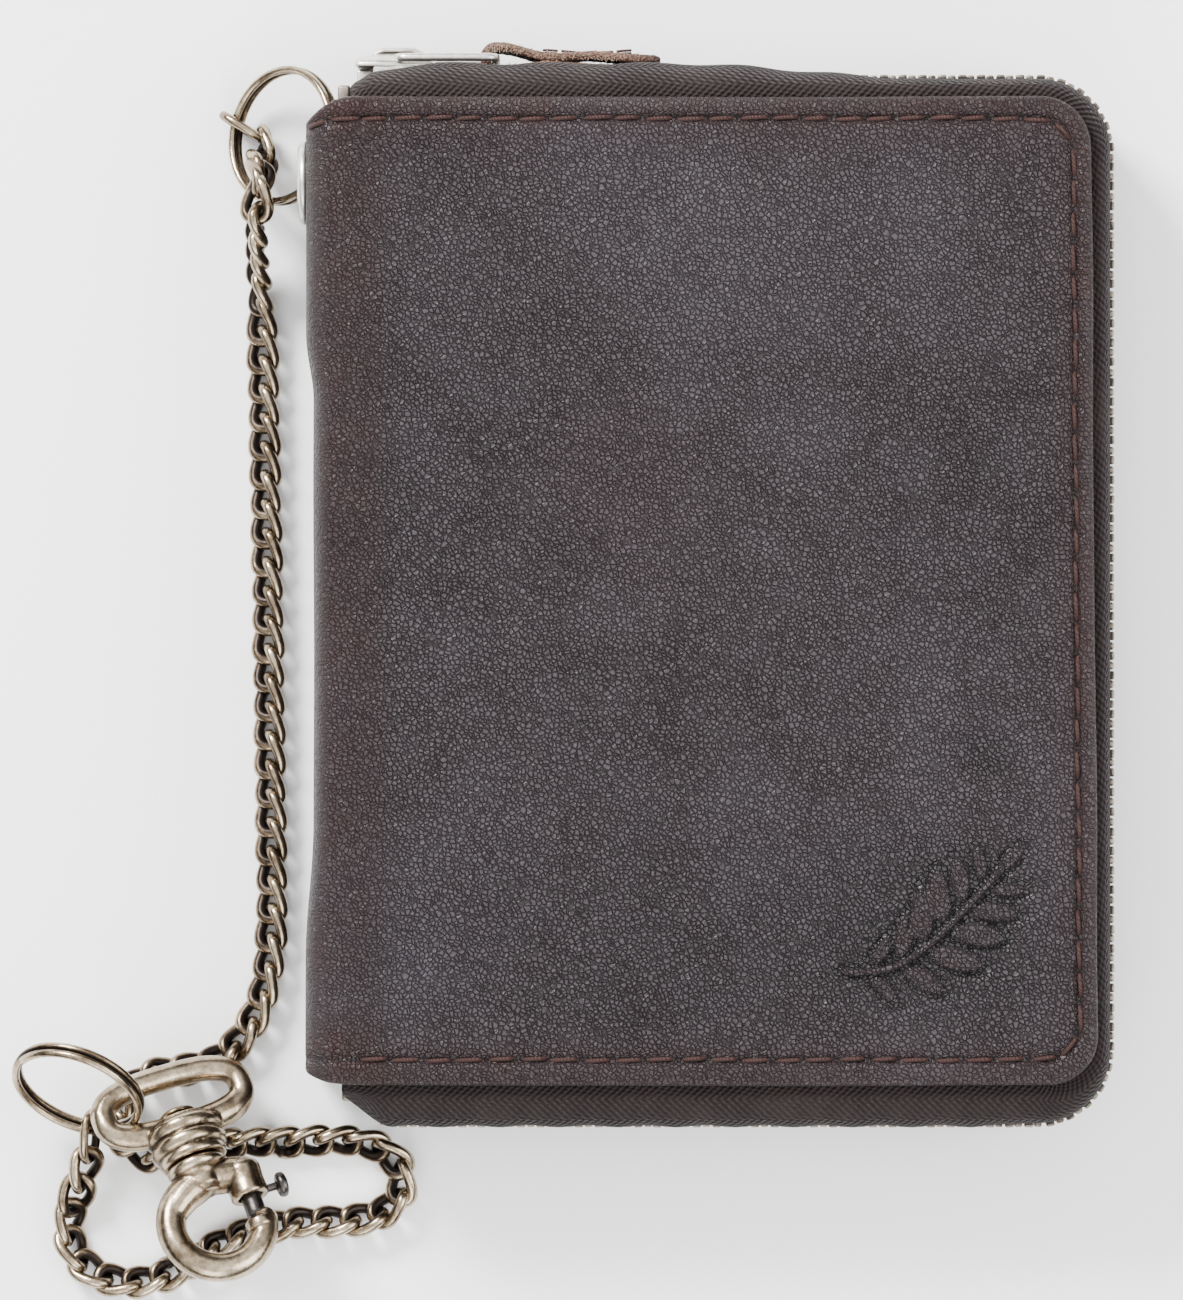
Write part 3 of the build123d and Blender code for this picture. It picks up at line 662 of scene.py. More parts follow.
def rot(axis, a):
    axis = np.asarray(axis, float) / np.linalg.norm(axis)
    K = np.array([[0, -axis[2], axis[1]], [axis[2], 0, -axis[0]], [-axis[1], axis[0], 0]])
    return np.eye(3) + math.sin(a) * K + (1 - math.cos(a)) * K @ K


def unit(v):
    v = np.asarray(v, float)
    return v / np.linalg.norm(v)


def recalc(o):
    bm = bmesh.new()
    bm.from_mesh(o.data)
    bmesh.ops.recalc_face_normals(bm, faces=bm.faces)
    bm.to_mesh(o.data)
    bm.free()
    return o


# ------------------------------------------------------------------ the hide: front panel, folds, spine and back in one piece
def sd(x, y, x0, x1, y0, y1, r):
    """Distance inside a rounded rectangle, positive inside."""
    qx = np.abs(x - (x0 + x1) / 2) - ((x1 - x0) / 2 - r)
    qy = np.abs(y - (y0 + y1) / 2) - ((y1 - y0) / 2 - r)
    return -(np.hypot(np.maximum(qx, 0), np.maximum(qy, 0)) + np.minimum(np.maximum(qx, qy), 0) - r)


def sstep(x, a, b):
    t = np.clip((x - a) / (b - a), 0, 1)
    return t * t * (3 - 2 * t)


FR, BR = 3.2, 2.2               # fold radii, outer face
XF = -48.1 + FR                 # where the front's flat part starts
XB = -48.1 + BR
T_H = 1.36
YT0, YB0, XR0, RC0 = 60.0, -57.0, 45.4, 6.0
STI = (-43.0 - 200, 43.2, -53.9, 57.4, 4.2)       # the stitch line as a rounded rectangle, open at the spine


def bspline2(P, n=24):
    P = np.asarray(P, float)
    out = []
    m = len(P) - 1
    for i in range(m - 1):
        a = P[i] if i == 0 else (P[i] + P[i + 1]) / 2
        b = P[i + 1]
        c = P[i + 2] if i == m - 2 else (P[i + 1] + P[i + 2]) / 2
        t = np.linspace(0, 1, n, endpoint=False)[:, None]
        out.append((1 - t) ** 2 * a + 2 * t * (1 - t) * b + t * t * c)
    out.append(P[-1:])
    return np.vstack(out)


def resample(P, step=None, n=None):
    P = np.asarray(P, float)
    s = np.concatenate([[0], np.cumsum(np.linalg.norm(np.diff(P, axis=0), axis=1))])
    if n is None:
        n = max(2, int(round(s[-1] / step)) + 1)
    q = np.linspace(0, s[-1], n)
    return np.stack([np.interp(q, s, P[:, k]) for k in range(P.shape[1])], 1)


# an embossed leafy sprig, in a plain generic shape
SPRIG_STEM = bspline2([(15.5, -43.5), (20, -43.8), (25, -41), (29.5, -36.5), (34.0, -31.5)], 12)
LEAVES = []                     # centre x, y, direction, half length, half width
_st = resample(SPRIG_STEM, n=41)
for _k, _i in enumerate((5, 11, 17, 23, 29, 35)):
    _p = _st[_i]
    _t = unit(_st[_i + 1] - _st[_i - 1])
    for _sd in (1, -1):
        _a = math.atan2(_t[1], _t[0]) + _sd * math.radians(52)
        _len = (2.1, 2.9, 3.4, 3.3, 2.8, 2.0)[_k]
        _c = (_p[0] + math.cos(_a) * (_len + 0.7), _p[1] + math.sin(_a) * (_len + 0.7))
        LEAVES.append((_c[0], _c[1], _a, _len, _len * 0.42))
LEAVES.append((35.3, -30.1, math.atan2(5, 4.5), 1.9, 0.85))


def emblem(x, y):
    """Relief in mm, raised mask and groove mask."""
    h = np.zeros_like(x)
    up = np.zeros_like(x)
    gr = np.zeros_like(x)
    near = (x > 11) & (x < 39) & (y > -50) & (y < -26)
    xx, yy = x[near], y[near]
    r_h, r_u, r_g = np.zeros_like(xx), np.zeros_like(xx), np.zeros_like(xx)
    for cx, cy, a, L, W in LEAVES:
        u = (xx - cx) * math.cos(a) + (yy - cy) * math.sin(a)
        v = -(xx - cx) * math.sin(a) + (yy - cy) * math.cos(a)
        w = W * np.clip(1 - np.abs(u / L) ** 2.2, 0, None) ** 0.8 + 1e-6
        q = np.hypot(u / L, v / W)
        dist = (q - 1) * min(L, W)
        ins = np.clip(1 - q, 0, 1)
        up1 = 1 - sstep(dist, -0.32, 0.02)
        vein = np.exp(-(v / 0.14) ** 2) * (np.abs(u) < L * 0.85)
        side = 0.5 + 0.5 * np.cos(2 * np.pi * (u - np.abs(v) * 0.9) / 0.95)
        hh = up1 * (0.30 + 0.12 * np.sqrt(ins)) - 0.22 * vein * up1 - 0.07 * side * up1
        r_h = np.maximum(r_h, hh)
        r_u = np.maximum(r_u, up1 * (1 - 0.8 * vein))
        g1 = np.exp(-((dist - 0.26) / 0.24) ** 2)
        r_g = np.maximum(r_g, g1)
    st = resample(SPRIG_STEM, n=120)
    dm = np.full_like(xx, 9.0)
    for p in st:
        dm = np.minimum(dm, np.hypot(xx - p[0], yy - p[1]))
    su = 1 - sstep(dm, 0.25, 0.5)
    r_h = np.maximum(r_h, 0.30 * su)
    r_u = np.maximum(r_u, su)
    r_g = np.maximum(r_g, np.exp(-((dm - 0.75) / 0.26) ** 2))
    r_g = r_g * (1 - r_u)
    h[near] = r_h - 0.34 * r_g
    up[near] = r_u
    gr[near] = r_g
    basin = np.exp(-(((x - 25.2) / 12.5) ** 4 + ((y + 37.6) / 9.5) ** 4))
    return h - 0.10 * basin, up, gr, basin


HOLES = None


def spacing(a, b, step, fine=None, fstep=0.2):
    """Positions from a to b, with close ones near both ends and a fine part."""
    edge = np.array([0, .05, .14, .28, .46, .68, .95, 1.3, 1.65, 1.95, 2.2, 2.45, 2.7, 3.0, 3.35, 3.75])
    lo, hi = a + edge, b - edge[::-1]
    x, mid = lo[-1], []
    while x < hi[0] - step * 0.6:
        st = fstep if fine and fine[0] < x < fine[1] else step
        x += st
        if x < hi[0] - st * 0.4:
            mid.append(x)
    return np.concatenate([lo, mid, hi])


def spine_dx(y):
    return 0.95 * sstep(-y, -32, -24) * (1 - sstep(-y, 26, 42))


def low_noise(x, y, s, seed):
    """Smooth sum of waves, quick."""
    r = np.random.default_rng(seed)
    out = np.zeros_like(x)
    for k in range(9):
        a = r.uniform(0, 2 * np.pi)
        f = s * r.uniform(0.5, 1.6)
        out += np.sin((x * math.cos(a) + y * math.sin(a)) * f + r.uniform(0, 6.28))
    return out / 4.5


def front_relief(x, y, front=True):
    """Height above the flat leather, with masks, for points of the front (or the back)."""
    d = sd(x, y, -300, XR0, YB0, YT0, RC0)
    s = sd(x, y, *STI)
    h = -0.42 * np.exp(-(s / 0.42) ** 2)
    h += 0.16 * np.exp(-((s + 1.15) / 0.75) ** 2) + 0.16 * np.exp(-((s - 1.5) / 1.1) ** 2)
    h += 0.10 * low_noise(x, y, 0.11, 3 if front else 4) + 0.035 * low_noise(x, y, 0.5, 5)
    # creases that run along the lower edge and puckers at the stitches
    low = np.exp(-((y + 46) / 7.0) ** 2) * sstep(x, -40, -20)
    wav = low_noise(x * 0.55, y * 2.2, 1.1, 11)
    h += 0.075 * low * (np.abs(wav) ** 0.6 * np.sign(wav))
    pk = np.exp(-((x + 37) / 2.6) ** 2 - ((y + 53.6) / 1.8) ** 2)
    h -= 0.3 * pk if front else 0
    h += 0.05 * np.sin(2 * np.pi * (x + y) / 3.75) * np.exp(-(s / 1.4) ** 2)
    up = np.zeros_like(x)
    gr = np.zeros_like(x)
    basin = np.zeros_like(x)
    if front:
        e, up, gr, basin = emblem(x, y)
        h += e
    return h, d, s, up, gr, basin


def edge_t(d, t=T_H):
    """Half thickness at distance d from the edge."""
    r = t / 2
    return r * np.sqrt(np.clip(1 - (1 - np.clip(d / r, 0, 1)) ** 2, 0, 1))


def build_hide():
    xs_f = spacing(XF, XR0, 0.52, (13.0, 37.5), 0.2)
    xs_f = xs_f[xs_f > XF + 3.3]
    xs_f = np.concatenate([np.arange(XF, xs_f[0] - 0.2, 0.5), xs_f])[::-1]
    xs_b = spacing(XB, XR0, 1.0)
    xs_b = xs_b[xs_b > XB + 3.3]
    xs_b = np.concatenate([np.arange(XB, xs_b[0] - 0.3, 0.8), xs_b])
    a_f = np.linspace(0, np.pi / 2, 13)[1:-1]
    z_s = np.linspace(22 - FR, BR, 30)
    a_b = np.linspace(0, np.pi / 2, 9)[1:-1]
    v = spacing(YB0, YT0, 0.52, (-49.5, -26.5), 0.2)
    v = (v - YB0) / (YT0 - YB0)
    cols = []                    # kind, value
    cols += [("f", x) for x in xs_f] + [("a", a) for a in a_f] + [("s", z) for z in z_s] + [("b", a) for a in a_b] + [("k", x) for x in xs_b]
    nu, nv = len(cols), len(v)
    O = np.zeros((nu, nv, 3))
    I = np.zeros((nu, nv, 3))
    at = {k: np.zeros((nu, nv)) for k in ("wear", "dark")}
    for i, (kind, q) in enumerate(cols):
        # unrolled distance past the front's flat part
        if kind == "f":
            g = float(sstep(-np.array(q), 42.2, 46.0)) * 0.25
        elif kind == "a":
            g = 0.25 + 0.75 * math.sin(q) ** 1.5
        elif kind == "s":
            g = 1.0
        elif kind == "b":
            g = math.cos(q) * 0.75 + 0.25
        else:
            g = 0.25 * (1 - float(sstep(np.array(q), -45.9, -42)))
        yt, yb = YT0 - 2.7 * g, YB0 + 1.2 * g
        y = yb + v * (yt - yb)
        if kind in "fk":
            # rows near a free corner are shorter
            yy = YB0 + v * (YT0 - YB0)
            over = np.maximum(np.maximum(yy - (YT0 - RC0), (YB0 + RC0) - yy), 0)
            xr = XR0 - (RC0 - np.sqrt(np.clip(RC0 ** 2 - over ** 2, 0, None)))
            x_start = XF if kind == "f" else XB
            u = (q - x_start) / (XR0 - x_start)
            x = x_start + u * (xr - x_start)
            h, d, s, up, gr, basin = front_relief(x, yy, kind == "f")
            if u > 0.9999:
                d = np.zeros_like(d)
            d = np.minimum(d, np.minimum(YT0 - yy, yy - YB0))
            d = np.maximum(d, 0)
            t = edge_t(d)
            fade = sstep(d, 0.2, 1.2)
            if kind == "f":
                zo = 21.3 + t + h * fade
                zi = 21.3 - t + 0 * h
                zi = np.maximum(zi, 20.56)
            else:
                zo = 0.7 - t - h * fade
                zi = 0.7 + t
                zi = np.minimum(zi, 1.42)
            sh = (-0.55 + 0.95 * (YT0 - yy) / 117) * np.clip((x - XF) / 90.3, 0, 1)
            edge_n = 0.16 * low_noise(yy, yy * 0.3 + 3, 0.16, 21 if kind == "f" else 22)
            x2 = x + sh + edge_n * np.clip((x - XF) / 90.3, 0, 1) ** 3
            y2 = y + 0.14 * low_noise(x, x * 0.2, 0.14, 23) * np.abs(2 * v - 1) ** 6
            O[i] = np.stack([x2, y2, zo], 1)
            I[i] = np.stack([x2, y2, zi], 1)
            w = 0.85 * np.exp(-d / 2.4) + 0.75 * np.exp(-np.abs(s) / 1.5) + 0.9 * (1 - sstep(x, -41.5, -36.5)) + 0.25 * (1 - sstep(-y, 40, 52) * 0) * np.exp(-np.abs(y - 61) / 14)
            w = w + 0.16 * np.exp(-((x + 6) / 17) ** 2 - ((y - 6) / 16) ** 2) + 0.3 * np.exp(-((x + 12) / 9) ** 2 - ((y - 16) / 8) ** 2)
            # painted shade: darker in the emblem's grooves, over its sunken basin and along the sunken stitch line
            dk = 0.55 * gr + 0.32 * basin * (1 - up) + 0.75 * np.exp(-(s / 0.28) ** 2)
            if kind == "f":
                blot = np.exp(-(((x - 32.5) / 3.4) ** 2 + ((y + 17.8) / 3.0) ** 2) ** 1.5)
                dk = dk + 0.62 * blot * (0.75 + 0.3 * low_noise(x, y, 1.6, 40))
                dk = dk + 0.34 * np.exp(-(((x - 8) / 44) ** 2)) * np.exp(-((y + 41) / 12) ** 2) + 0.22 * np.exp(-((x + 41.0) / 3.0) ** 2)
                # painted highlight: the raised parts of the emblem get the lighter rust tone
                w = w + 0.65 * up
            at["wear"][i], at["dark"][i] = w, dk
            continue
        d = np.minimum(yt - y, y - yb)
        t = edge_t(d)
        dx = spine_dx(y)
        bul = 0.12 * low_noise(y, y * 0 + 2, 0.12, 31)
        s_top = 57.4 - 1.2 * g
        s_bot = -53.9
        ds = np.minimum(np.abs(y - s_top), np.abs(y - s_bot))
        h = -0.3 * np.exp(-(ds / 0.45) ** 2) * (1.0 if kind in "a" else 0.2) + bul
        h = h * sstep(d, 0.2, 1.2)
        tt = T_H / 2
        if kind == "a":
            c = np.array([XF, 22 - FR])
            nrm = np.array([-math.sin(q), math.cos(q)])
            ro = FR - tt + t + h
            ri = FR - tt - t
            w = 0.95 + 0 * y
        elif kind == "s":
            c = np.array([XF, q])
            nrm = np.array([-1.0, 0.0])
            ro = FR - tt + t + h
            ri = FR - tt - t
            w = 0.6 + 0 * y
        else:
            c = np.array([XB, BR])
            nrm = np.array([-math.cos(q), -math.sin(q)])
            ro = BR - tt + t + h
            ri = BR - tt - t
            w = 0.6 + 0 * y
        k = abs(nrm[0])
        O[i] = np.stack([c[0] + nrm[0] * ro + dx * k, y, c[1] + nrm[1] * ro], 1)
        I[i] = np.stack([c[0] + nrm[0] * ri + dx * k, y, c[1] + nrm[1] * ri], 1)
        w = w + 0.5 * np.exp(-d / 2.5)
        at["wear"][i] = w
        # painted shade along the sunken stitch lines; the fold is a little darker all over
        at["dark"][i] = 0.12 + 0.5 * np.exp(-(ds / 0.28) ** 2)
    # needle holes pull the leather down a little
    for (sx, y) in HOLES:
        sel = (np.abs(O[..., 0] - sx) < 0.9) & (np.abs(O[..., 1] - y) < 0.9) & (O[..., 2] > 20)
        r2 = (O[..., 0] - sx) ** 2 + (O[..., 1] - y) ** 2
        O[..., 2] -= np.where(sel, 0.26 * np.exp(-r2 / 0.2), 0)
    V = np.concatenate([O.reshape(-1, 3), I.reshape(-1, 3)])
    N = nu * nv
    F = grid_faces(nu, nv, flip=True)
    F += grid_faces(nu, nv, off=N)
    # join outer and inner round the edge, which coincide there: weld by closing with the boundary loop
    ring = [(0, j) for j in range(nv)] + [(i, nv - 1) for i in range(1, nu)] + [(nu - 1, j) for j in range(nv - 2, -1, -1)] + [(i, 0) for i in range(nu - 2, 0, -1)]
    ids = [i * nv + j for i, j in ring]
    for a, b in zip(ids, ids[1:] + ids[:1]):
        F.append((a, b, b + N, a + N))
    attrs = {k: np.concatenate([x.ravel(), x.ravel() * (0.4 if k == "wear" else 1)]) for k, x in at.items()}
    o = make("hide_leather", V, F, L_WALLET, "wallet_leather", attrs=attrs)
    bm = bmesh.new()
    bm.from_mesh(o.data)
    bmesh.ops.remove_doubles(bm, verts=bm.verts, dist=2e-6)
    bmesh.ops.recalc_face_normals(bm, faces=bm.faces)
    bm.to_mesh(o.data)
    bm.free()
    return o


# stitch positions in the flat: from the spine along the top, round the free edge and back
def stitch_path(wrap):
    x0, x1, y0, y1, r = STI
    pts = []
    xs = XF - wrap
    pts += [(x, y1) for x in np.linspace(xs, x1 - r, 60)]
    pts += [(x1 - r + r * math.sin(a), y1 - r + r * math.cos(a)) for a in np.linspace(0, np.pi / 2, 10)[1:-1]]
    pts += [(x1, y) for y in np.linspace(y1 - r, y0 + r, 70)]
    pts += [(x1 - r + r * math.cos(a), y0 + r - r * math.sin(a)) for a in np.linspace(0, np.pi / 2, 10)[1:-1]]
    pts += [(x, y0) for x in np.linspace(x1 - r, XF + 0.3, 60)]
    return np.array(pts)


PITCH = 3.75
SP = stitch_path(4.2)
SP = resample(SP, step=0.25)
SS = np.concatenate([[0], np.cumsum(np.linalg.norm(np.diff(SP, axis=0), axis=1))])


def sp_at(s):
    return np.array([np.interp(s, SS, SP[:, 0]), np.interp(s, SS, SP[:, 1])])


N_ST = int(SS[-1] / PITCH)
STITCHES = []
for _i in range(N_ST):
    _a = 0.5 + _i * PITCH
    STITCHES.append((_a, _a + 2.75 + 0.25 * math.sin(_i * 2.3)))
HOLES = []
for _a, _b in STITCHES:
    for _q in (_a, _b):
        _p = sp_at(_q)
        if _p[0] > XF:
            HOLES.append((_p[0], _p[1]))
hide = build_hide()
BL0, BL1 = M((-48.1, 0, 18.95)), M((-48.1, 0, 20.5))
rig.blend(hide, "back", "front", BL0, BL1)
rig.replaces(hide, "front_cover", "spine", "back_cover")


def hide_point(p, off, front=True):
    """Point on the hide's outer face over flat place p, off mm above it, and the normal there."""
    x, y = p
    if front and x < XF:
        a = (XF - x) / FR
        g = 0.25 + 0.75 * math.sin(min(a, np.pi / 2)) ** 1.5
        if a < np.pi / 2:
            n = np.array([-math.sin(a), 0, math.cos(a)])
            c = np.array([XF + spine_dx(np.array(y)) * abs(n[0]), y - 1.2 * g, 22 - FR])
            return c + n * (FR - 0.28 + off), n
        return np.array([-48.1, y - 1.2, 22 - FR - (x * 0 + (a - np.pi / 2) * FR)]) + np.array([-1, 0, 0]) * (off - 0.28), np.array([-1.0, 0, 0])
    h, d, s, *_ = front_relief(np.array([x]), np.array([y]), front)
    sh = (-0.55 + 0.95 * (YT0 - y) / 117) * np.clip((x - XF) / 90.3, 0, 1)
    z = 21.3 + T_H / 2 + h[0] + off if front else 0.7 - T_H / 2 - h[0] - off
    return np.array([x + sh, y, z]), np.array([0, 0, 1.0 if front else -1.0])


def build_stitches():
    b = Batch()
    for front in (True, False):
        for k, (s0, s1) in enumerate(STITCHES):
            p0, p1 = sp_at(s0), sp_at(s1)
            if not front and min(p0[0], p1[0]) < XB + 1:
                continue
            q = []
            jit = 0.10 * math.sin(k * 5.1)
            for f in np.linspace(0, 1, 8):
                p = p0 + (p1 - p0) * f
                t = unit(np.append(p1 - p0, 0))[:2]
                p = p + np.array([-t[1], t[0]]) * (jit + 0.16 * (f - 0.5))
                lift = 0.10 + 0.16 * math.sin(math.pi * f) - 0.42 * (abs(2 * f - 1) ** 4)
                pt, nn = hide_point(p, lift, front)
                q.append(pt)
            v, f_ = tube(np.array(q), 0.27, 8, round_ends=True)
            b.add(v, f_)
    return b.build("hide_stitching", THREAD, "wallet_leather")


stitching = recalc(build_stitches())
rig.blend(stitching, "back", "front", BL0, BL1)


# ------------------------------------------------------------------ soft flat parts inside
def flat_piece(x0, x1, y0, y1, z0, z1, r=2.0, step=1.2, wave=0.12, seed=1, bend=None):
    """Closed thin sheet with a round edge."""
    t = z1 - z0
    zm = (z0 + z1) / 2
    e = np.array([0, .04, .12, .25, .45, .8, 1.3])

    def sp(a, b):
        n = max(3, int((b - a - 2.6) / step))
        return np.concatenate([a + e, np.linspace(a + 1.3, b - 1.3, n + 1)[1:-1], (b - e)[::-1]])
    xs, ys = sp(x0, x1), sp(y0, y1)
    nu, nv = len(xs), len(ys)
    X, Y = np.meshgrid(xs, ys, indexing="ij")
    over = np.maximum(np.maximum(Y - (y1 - r), (y0 + r) - Y), 0)
    cut = r - np.sqrt(np.clip(r * r - over ** 2, 0, None))
    U = (X - x0) / (x1 - x0)
    X = x0 + cut + U * (x1 - x0 - 2 * cut)
    d = sd(X, Y, x0, x1, y0, y1, r)
    border = (U < 1e-6) | (U > 1 - 1e-6) | (Y <= y0 + 1e-6) | (Y >= y1 - 1e-6)
    d = np.where(border, 0, np.maximum(d, 0.02))
    th = edge_t(d, t)
    w = wave * low_noise(X, Y, 0.16, seed)
    if bend is not None:
        w = w + bend(X, Y)
    V = np.concatenate([np.stack([X, Y, zm + th + w], -1).reshape(-1, 3), np.stack([X, Y, zm - th + w], -1).reshape(-1, 3)])
    N = nu * nv
    F = grid_faces(nu, nv) + grid_faces(nu, nv, off=N, flip=True)
    ring = [(0, j) for j in range(nv)] + [(i, nv - 1) for i in range(1, nu)] + [(nu - 1, j) for j in range(nv - 2, -1, -1)] + [(i, 0) for i in range(nu - 2, 0, -1)]
    ids = [i * nv + j for i, j in ring]
    for a, b in zip(ids, ids[1:] + ids[:1]):
        F.append((b, a, a + N, b + N))
    wear = np.concatenate([np.exp(-d / 1.6).ravel()] * 2)
    return V, F, wear


def weld(o, dist=2e-6):
    bm = bmesh.new()
    bm.from_mesh(o.data)
    bmesh.ops.remove_doubles(bm, verts=bm.verts, dist=dist)
    bmesh.ops.recalc_face_normals(bm, faces=bm.faces)
    bm.to_mesh(o.data)
    bm.free()
    return o


def soft(name, boxes, mat, slot, body, node, **kw):
    b = Batch()
    for k, bx in enumerate(boxes):
        v, f, w = flat_piece(*bx, seed=50 + k, **kw)
        b.add(v, f, wear=w, dark=0.0)
    o = weld(b.build(name, mat, slot))
    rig.ride(o, body)
    if node:
        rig.replaces(o, node)
    return o


def run_stitch(name, paths, body, mat=None, r=0.2, pitch=2.6, lift=0.06, zdir=1.0):
    """Stitches along polylines in space."""
    b = Batch()
    for P in paths:
        P = resample(np.asarray(P, float), step=0.2)
        s = np.concatenate([[0], np.cumsum(np.linalg.norm(np.diff(P, axis=0), axis=1))])
        k = 0.6
        while k + pitch * 0.7 < s[-1]:
            q = np.linspace(k, k + pitch * 0.7, 6)
            pt = np.stack([np.interp(q, s, P[:, i]) for i in range(3)], 1)
            pt[:, 2] += zdir * (lift - 0.22 * np.abs(np.linspace(-1, 1, 6)) ** 4)
            v, f = tube(pt, r, 6, round_ends=True)
            b.add(v, f)
            k += pitch
    o = recalc(b.build(name, mat or THREAD_D, "lining"))
    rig.ride(o, body)
    return o


def rim(x0, x1, y0, y1, z, left=True, top=False):
    p = []
    if left:
        p.append((x0, y1, z))
    p += [(x0, y0, z), (x1, y0, z), (x1, y1, z)]
    if top:
        p.append((x0, y1, z))
    return p


soft("back_lining_cloth", [(-44.8, 44.6, -56.6, 59.4, 2.5, 3.1)], L_LINING, "lining", "back", "back_lining", r=5, wave=0.03)
soft("front_lining_cloth", [(-44.8, 44.6, -56.6, 59.4, 18.9, 19.5)], L_LINING, "lining", "front", "front_lining", r=5, wave=0.03)
soft("note_pocket_panel", [(-43.5, 43.5, -54.0, 40.0, 3.28, 3.82)], L_POCKET, "pocket_leather", "back", "note_pocket", r=3, wave=0.03)
soft("card_slots_back_panels", [(-41.5, 41.5, -52.5, 30.0 - 11 * i, 3.95 + .55 * i, 4.4 + .55 * i) for i in range(4)], L_POCKET, "pocket_leather", "back", "card_slots_back", wave=0.03)
soft("card_slots_front_panels", [(-40.0, 40.0, -52.5, 30.0 - 11 * i, 18.25 - .55 * i, 18.7 - .55 * i) for i in range(4)], L_POCKET, "pocket_leather", "front", "card_slots_front", wave=0.03)
fl = soft("id_window_film", [(-32.0, 32.0, -46.0, -8.0, 16.15, 16.4)], FILM, "clear_film", "front", "id_window", r=1.2, wave=0.06)
fr_b = Batch()
for bx in ((-33.2, -29.6, -47.2, -6.8, 16.0, 16.32), (29.6, 33.2, -47.2, -6.8, 16.0, 16.32), (-31, 31, -47.2, -43.6, 16.0, 16.32)):
    v_, f_, w_ = flat_piece(*bx, r=0.8, step=1.0, wave=0.02)
    fr_b.add(v_, f_, wear=w_, dark=0.0)
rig.ride(weld(fr_b.build("id_window_binding", L_POCKET, "pocket_leather")), "front")
run_stitch("pocket_stitching_back", [rim(-42.4, 42.4, -53.0, 39.0, 3.86)] + [[(-40.4, 28.6 - 11 * i, 4.42 + .55 * i), (40.4, 28.6 - 11 * i, 4.42 + .55 * i)] for i in range(4)] + [rim(-40.4, 40.4, -51.4, -4.0, 6.06)], "back", pitch=2.4, r=0.16)
run_stitch("pocket_stitching_front", [[(-39.0, 28.6 - 11 * i, 18.23 - .55 * i), (39.0, 28.6 - 11 * i, 18.23 - .55 * i)] for i in range(4)] + [rim(-39.0, 39.0, -51.4, -6.0, 16.58), rim(-31.4, 31.4, -45.4, -7.4, 15.98)], "front", pitch=2.4, r=0.16, zdir=-1.0)


def centre_pocket():
    b = Batch()
    for k, (z0, z1) in enumerate(((6.3, 6.9), (8.7, 9.3))):
        v, f, w = flat_piece(-38.0, 38.0, -52.0, 24.0, z0, z1, r=2.0, wave=0.05, seed=70 + k)
        b.add(v, f, wear=w, dark=0.0)
    # the gusset round three sides, a soft rounded strip
    p = [(-37.75, 23.6)] + [(-37.75, y) for y in np.linspace(22, -50, 40)] + [(-36.9, -51.3)] + [(x, -51.75) for x in np.linspace(-35.5, 35.5, 40)] + [(36.9, -51.3)] + [(37.75, y) for y in np.linspace(-50, 22, 40)] + [(37.75, 23.6)]
    p = np.array([(x, y, 7.8) for x, y in p])
    P, T, U, W = frames(p)
    sec = [(0.25 + 0.35 * math.cos(a), 1.35 * math.sin(a)) for a in np.linspace(-np.pi / 2, np.pi / 2, 11)]
    sec += [(-0.1 + 0.3 * math.cos(a), 1.15 * math.sin(a)) for a in np.linspace(np.pi / 2, -np.pi / 2, 11)]
    out = np.cross(T, [0, 0, 1.0])
    V = P[:, None, :] + out[:, None, :] * np.array([s[0] for s in sec])[None, :, None] * -1 + np.array([0, 0, 1.0]) * np.array([s[1] for s in sec])[None, :, None]
    n = len(sec)
    F = grid_faces(len(P), n, closed_v=True)
    F.append(tuple(range(n)))
    F.append(tuple((len(P) - 1) * n + i for i in range(n))[::-1])
    b.add(V.reshape(-1, 3), F, wear=0.3, dark=0.2)
    o = weld(b.build("centre_pocket_leather", L_POCKET, "pocket_leather"))
    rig.ride(o, "back")
    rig.replaces(o, "centre_pocket")
    return o


centre_pocket()
run_stitch("centre_pocket_stitching", [rim(-36.6, 36.6, -50.6, 23.2, 9.34), [(-36.6, 22.6, 9.34), (36.6, 22.6, 9.34)]], "back", pitch=2.4, r=0.16)


def spine_lining():
    ys = np.linspace(-55, 44, 60)
    zs = np.concatenate([[3.2, 3.25, 3.4], np.linspace(3.8, 18.2, 16), [18.6, 18.75, 18.8]])
    Y, Z = np.meshgrid(ys, zs, indexing="ij")
    d = np.minimum(np.minimum(Z - 3.2, 18.8 - Z), np.minimum(Y + 55, 44 - Y))
    t = edge_t(np.maximum(d, 0), 0.4)
    x = -46.55 + spine_dx(Y) + 0.05 * low_noise(Y, Z, 0.3, 80)
    V = np.concatenate([np.stack([x + t, Y, Z], -1).reshape(-1, 3), np.stack([x - t, Y, Z], -1).reshape(-1, 3)])
    nu, nv = Y.shape
    N = nu * nv
    F = grid_faces(nu, nv) + grid_faces(nu, nv, off=N, flip=True)
    ring = [(0, j) for j in range(nv)] + [(i, nv - 1) for i in range(1, nu)] + [(nu - 1, j) for j in range(nv - 2, -1, -1)] + [(i, 0) for i in range(nu - 2, 0, -1)]
    ids = [i * nv + j for i, j in ring]
    for a, b in zip(ids, ids[1:] + ids[:1]):
        F.append((b, a, a + N, b + N))
    o = weld(make("spine_lining_cloth", V, F, L_LINING, "lining", attrs={"wear": np.full(2 * N, 0.2), "dark": np.zeros(2 * N)}))
    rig.ride(o, "back")
    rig.replaces(o, "spine_lining")


spine_lining()


# ------------------------------------------------------------------ zip: tapes, teeth, stops
TX0, TXR, TYT, TYB, TRC = -44.8, 46.9, 61.9, -61.2, 8.1


